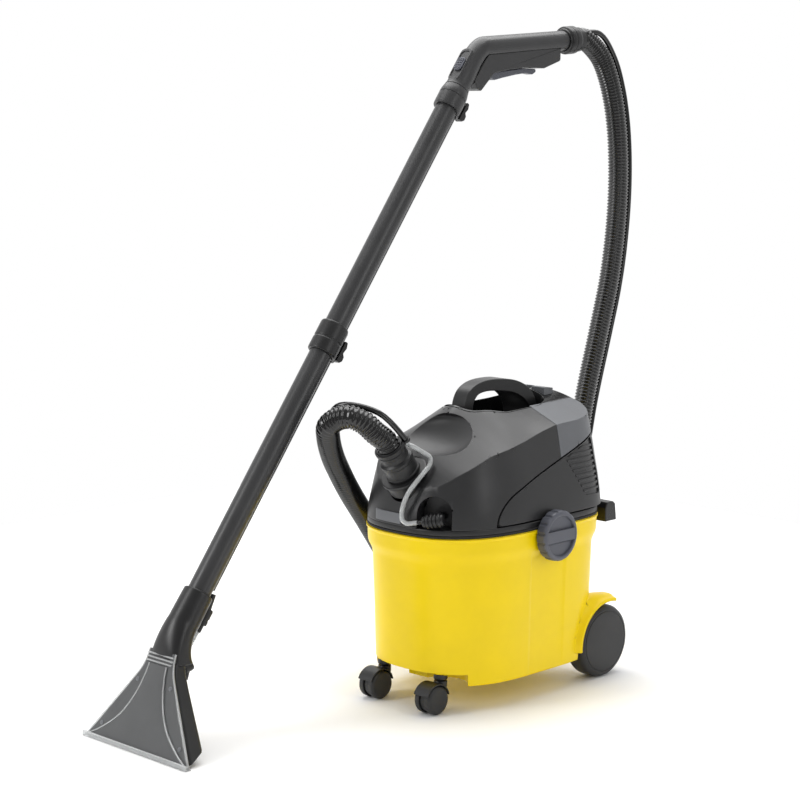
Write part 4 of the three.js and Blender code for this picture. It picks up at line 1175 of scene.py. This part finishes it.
def grip():
    body = cut(grip_bulk(), rod(wand_at(1090), wand_at(1127), TUBE_RADIUS + 0.3, sides=72),
        line_rod(1100, 1123, 5.3))
    body = join(body, slider_block(62, 11.5, 6, 17.6))
    body = cut(body, slider_block(52, 9.3, 16.2, 30))
    rings = [collar(grip_radius(at) - 0.5, 30, wand_at(1118 + at), wand_at(1118 + at + 1))
        for at in (22, 38)]
    finish(cut(body, *rings), "grip_tube", "wand", TUBE, "grip_shell", bevel=0.5)
    outline = [(84, 927), (92, 923), (124, 952), (160, 958), (205, 962), (245, 961), (286, 974),
        (286, 998), (117, 990), (76, 940)]
    plate = along_x(rounded(outline, 5), WAND_X - 13, WAND_X + 13)
    slot = along_x([(114, 930), (118, 962), (160, 970), (205, 972), (233, 970), (233, 940)], WAND_X - 9,
        WAND_X + 9)
    plate = cut(plate, grip_bulk(0.3), slot, line_rod(1110, 1156, 6, 32.5))
    finish(plate, "grip_underside", "wand", TUBE, "grip_panel", bevel=1.6)
    outline = [(120, 946), (130, 941), (150, 945), (180, 950), (205, 953), (222, 951), (230, 955),
        (230, 960), (200, 961), (160, 957), (122, 953)]
    lever = along_x(rounded(outline, 3), WAND_X - 7.5, WAND_X + 7.5)
    finish(lever, "trigger_lever", "trigger", KNOB, "spray_trigger", bevel=1.6)


def air_slider():
    body = slider_block(24, 8.4, 16.8, 19.4)
    section = ((-7, 18), (7, 18), (6.2, 20.8), (-6.2, 20.8))
    ribs = []
    for k in range(6):
        at = SLIDER_MIDDLE - 8.5 + 3.4 * k
        ribs.append(loft([[beside(at + a, -back, x) for x, back in section] for a in (-0.75, 0.75)]))
    finish(join(body, *ribs), "slider_button", "slider", KNOB, "air_slider", bevel=0.4)


def hose_swivel():
    profile = [(0, 0), (18.4, 0), (19, 0.8), (19.6, 2.4), (22, 3.6), (23, 5.6), (23, 11), (22.2, 12),
        (22.2, 14), (23, 15), (23, 23), (22.2, 25.6), (20.4, 28), (19.9, 31), (20, 38.6), (19.2, 40),
        (0, 40)]
    finish_black(lathe(profile, grip_at(GRIP_LENGTH + GAP), GRIP_AXIS, sides=72), "swivel_cuff",
        "swivel", "hose_swivel", bevel=0.4)


for make_part in (nozzle_body, nozzle_cover, nozzle_trim, nozzle_lip, spray_parts, tube_collar, grip,
        air_slider, hose_swivel):
    make_part()
suction_tube("tube_lower", "lower_tube", 238, 688, 276, 664)
suction_tube("tube_upper", "upper_tube", 692, 1124, 718, 1120)
latch("latch_middle", "tube_latch", 672, 706)
latch("latch_upper", "handle_latch", 1120, 1152)


# ---- CAD nodes that stay
KEPT = {
    "rear_axle": STEEL, "caster_axle_left": STEEL, "caster_axle_right": STEEL, "lock_cam_left": WHITE,
    "lock_cam_right": WHITE, "fan_housing": BLACK, "fan_impeller": MOTOR, "fan_motor": MOTOR,
    "spray_pump": BLACK, "intake_elbow": BLACK, "float_cage": WHITE, "float": ORANGE,
}
for name, material in KEPT.items():
    paint(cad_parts[name], material)


# ---- studio
def area_light(name, location, target, size, watts):
    data = bpy.data.lights.new(name, "AREA")
    data.shape, data.size, data.size_y, data.energy = "RECTANGLE", size[0], size[1], watts
    light = put(name, data)
    light.location = Vector(location)
    light.rotation_euler = (Vector(target) - Vector(location)).to_track_quat("-Z", "Y").to_euler()


def backdrop():
    """A white sweep that is bright behind the machine and dimmer in front of it."""
    world = bpy.data.worlds.new("studio")
    world.use_nodes = True
    tree = world.node_tree
    facing = node(tree, "ShaderNodeVectorMath", operation="DOT_PRODUCT")
    facing.inputs[1].default_value = (-0.7, 0.71, 0.0)
    tree.links.new(node(tree, "ShaderNodeTexCoord").outputs["Generated"], facing.inputs[0])
    sky = tree.nodes["Background"]
    sky.inputs["Color"].default_value = (1, 1, 1, 1)
    tree.links.new(spread(tree, facing.outputs["Value"], -0.6, 0.7, 0.38, 1), sky.inputs["Strength"])
    bpy.context.scene.world = world


FLOOR_REACH, FLOOR_DROP = 1.5, 0.0004


def studio():
    corners = ((-1, -1), (1, -1), (1, 1), (-1, 1))
    mesh = bpy.data.meshes.new("floor")
    mesh.from_pydata([(FLOOR_REACH * x, FLOOR_REACH * y, -FLOOR_DROP) for x, y in corners], [],
        [(0, 1, 2, 3)])
    floor = put("floor", mesh)
    mesh.materials.append(finish_of("floor_paper", (250, 250, 250), 0.8, grain=300, bump=0.02, vary=0.01,
        wear=0, shine=0.1))
    floor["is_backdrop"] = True
    backdrop()
    area_light("top", (-0.5, 0.6, 2.7), (0, 0, 0.3), (2.6, 2.2), 62)
    area_light("front_left", (-1.2, -2.6, 1.9), (0, 0, 0.4), (1.0, 1.8), 38)
    area_light("right", (2.6, 0.2, 1.5), (0, 0, 0.3), (0.5, 1.8), 10)
    bpy.context.scene.view_settings.view_transform = "Standard"


studio()

# ---- the two boxes: the CAD parts' and the visual pieces'
sizes = {"cad": cad_bounds, "visual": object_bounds()}
{key: [list(map(float, corner)) for corner in value] for key, value in sizes.items()}
